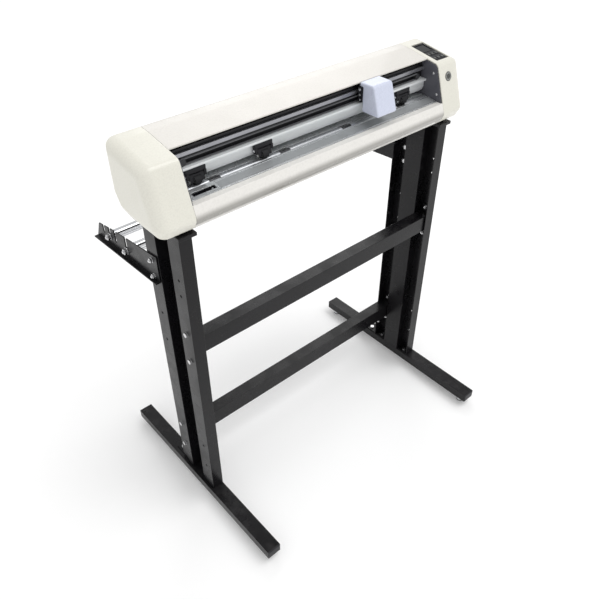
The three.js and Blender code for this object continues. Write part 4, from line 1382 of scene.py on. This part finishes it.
# ---- drive and electrics
@dataclass
class DriveParts:
    """Stepping motors with bright end plates, laminated cores and face screws.

    Attributes:
        plate: Thickness of a motor's end plates.
        side: Width of a motor.
        cut: How far its corners are cut.
        boss: Radius of the round boss on a motor's face.
        screw_circle: How far its screws lie from its axis, along each side.
        layers: Number of rings in the core.
        core: Width of the core as a share of the motor's.
        filled: Share of a ring's pitch that is metal.
    """

    plate: float = 8.5
    side: float = 42.0
    cut: float = 5.0
    boss: float = 11.0
    screw_circle: float = 15.5
    layers: int = 9
    core: float = 0.965
    filled: float = 0.86

    def build(self) -> None:
        """Make both motors."""
        for node, facing in (("feed_motor", Facing.LEFT), ("carriage_motor", Facing.FRONT)):
            low, high = (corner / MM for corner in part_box(node))
            face = Vector([(a + b) / 2 for a, b in zip(low, high)])
            axis = 0 if facing is Facing.LEFT else 1
            face[axis] = low[axis]
            self.motor(node, toward(facing, tuple(face)), high[axis] - low[axis])

    def motor(self, node: str, place: Matrix, length: float) -> None:
        """One motor behind its mounting face, which is z = 0 of the place."""
        half, straight = self.side / 2, self.side / 2 - self.cut
        edge = [(-straight, -half), (straight, -half)]
        corners = []
        for _ in range(4):
            corners += [(x, y, 0.0) for x, y in edge]
            edge = [(-y, x) for x, y in edge]
        ends = [extruded("end", corners, self.plate, place @ lifted(z)) for z in (-self.plate, -length)]
        ends.append(turned("boss", ring(3.0, self.boss, -1.0, 1.6), place))
        dress(eased(joined(f"{node}_end_plates", ends), 0.5), BRUSHED, FRAME_BODY, node)
        small = [(x * self.core, y * self.core, 0.0) for x, y, _ in corners]
        pitch = (length - 2 * self.plate) / self.layers
        core = [extruded("core", small, pitch * self.filled, place @ lifted(-self.plate - pitch * (k + 1)))
                for k in range(self.layers)]
        dress(eased(joined(f"{node}_core", core), 0.25), PLASTIC)
        screw = PanScrew(radius=2.6, height=1.4, recess=0.7).pattern()
        away = (-self.screw_circle, self.screw_circle)
        spots = [moved(x, y, 0.0) for x in away for y in away]
        fasten(f"{node}_screws", screw, [place @ spot for spot in spots])
        remove(screw)


# ---- studio
@dataclass
class Studio:
    """Pale floor, soft lights and the camera.

    Attributes:
        eye: Camera position in millimetres.
        aim: Viewing direction.
        lens: Focal length on the 36 mm film, in millimetres.
        floor_size: Side of the floor, in metres.
        floor_glow: Light that the floor gives off.
        sky: Strength of the even light all round.
        sun_from: Where the sun stands.
        sun_power: Its strength.
        sun_spread: Its width, in degrees.
        windows: Name, place, width and power of each round lamp.
        lamp_aim: Point that those lamps face.
    """

    eye: Point = (-895.5, -983.7, 1529.3)
    aim: Point = (0.510, 0.5805, -0.6347)
    lens: float = 38.67
    floor_size: float = 14.0
    floor_glow: float = 0.1
    sky: float = 0.74
    sun_from: Point = (0.10, -0.093, 0.319)
    sun_power: float = 1.05
    sun_spread: float = 38.0
    windows: tuple[tuple[str, Point, float, float], ...] = (("rear_window", (2.4, 2.9, 3.1), 2.4, 26.0),)
    lamp_aim: Point = (0.0, 0.0, 0.7)

    def build(self) -> None:
        """Make the floor, the lights and the camera."""
        floor = begin("floor", bpy.ops.mesh.primitive_plane_add, size=self.floor_size)
        graph = Graph("floor_paper")
        tone = graph.mix(graph.noise(900.0, 2.0).step(0.3, 0.7), (0.90, 0.90, 0.90), (0.92, 0.92, 0.92))
        graph.feed(graph.shader.inputs["Base Color"], tone)
        graph.shader.inputs["Roughness"].default_value = 0.9
        graph.shader.inputs["Emission Color"].default_value = (1.0, 1.0, 1.0, 1.0)
        graph.shader.inputs["Emission Strength"].default_value = self.floor_glow
        floor.data.materials.append(graph.material)
        sun = bpy.data.lights.new("sun", "SUN")
        sun.energy = self.sun_power
        sun.angle = math.radians(self.sun_spread)
        self.hang("sun", sun, self.sun_from, (0.0, 0.0, 0.0))
        for name, place, size, power in self.windows:
            lamp = bpy.data.lights.new(name, "AREA")
            lamp.shape = "DISK"
            lamp.size = size
            lamp.energy = power
            self.hang(name, lamp, place, self.lamp_aim)
        world = bpy.data.worlds.new("studio")
        world.use_nodes = True
        background = world.node_tree.nodes["Background"].inputs
        background["Color"].default_value = (1.0, 1.0, 1.0, 1.0)
        background["Strength"].default_value = self.sky
        bpy.context.scene.world = world
        bpy.context.scene.view_settings.view_transform = "Standard"
        camera_data = bpy.data.cameras.new("camera")
        camera_data.lens = self.lens
        camera = bpy.data.objects.new("camera", camera_data)
        camera.location = Vector(self.eye) * MM
        camera.rotation_euler = Vector(self.aim).to_track_quat("-Z", "Y").to_euler()
        bpy.context.scene.collection.objects.link(camera)
        bpy.context.scene.camera = camera

    def hang(self, name: str, lamp: bpy.types.Light, place: Point, target: Point) -> None:
        """Put a light at a place, turned to a target."""
        light = bpy.data.objects.new(name, lamp)
        light.location = place
        light.rotation_euler = (Vector(target) - Vector(place)).to_track_quat("-Z", "Y").to_euler()
        bpy.context.scene.collection.objects.link(light)


def main() -> None:
    """Build every sub-assembly in order."""
    logging.basicConfig(level=logging.INFO, format="%(message)s")
    Studio().build()
    PlainParts().build()
    for section in (StandHardware, Feet, RollHolder, EndCaps, PaperPath, CarriageParts, PinchParts,
                    ControlPanel, DriveParts):
        section().build()


if __name__ == "__main__":
    main()
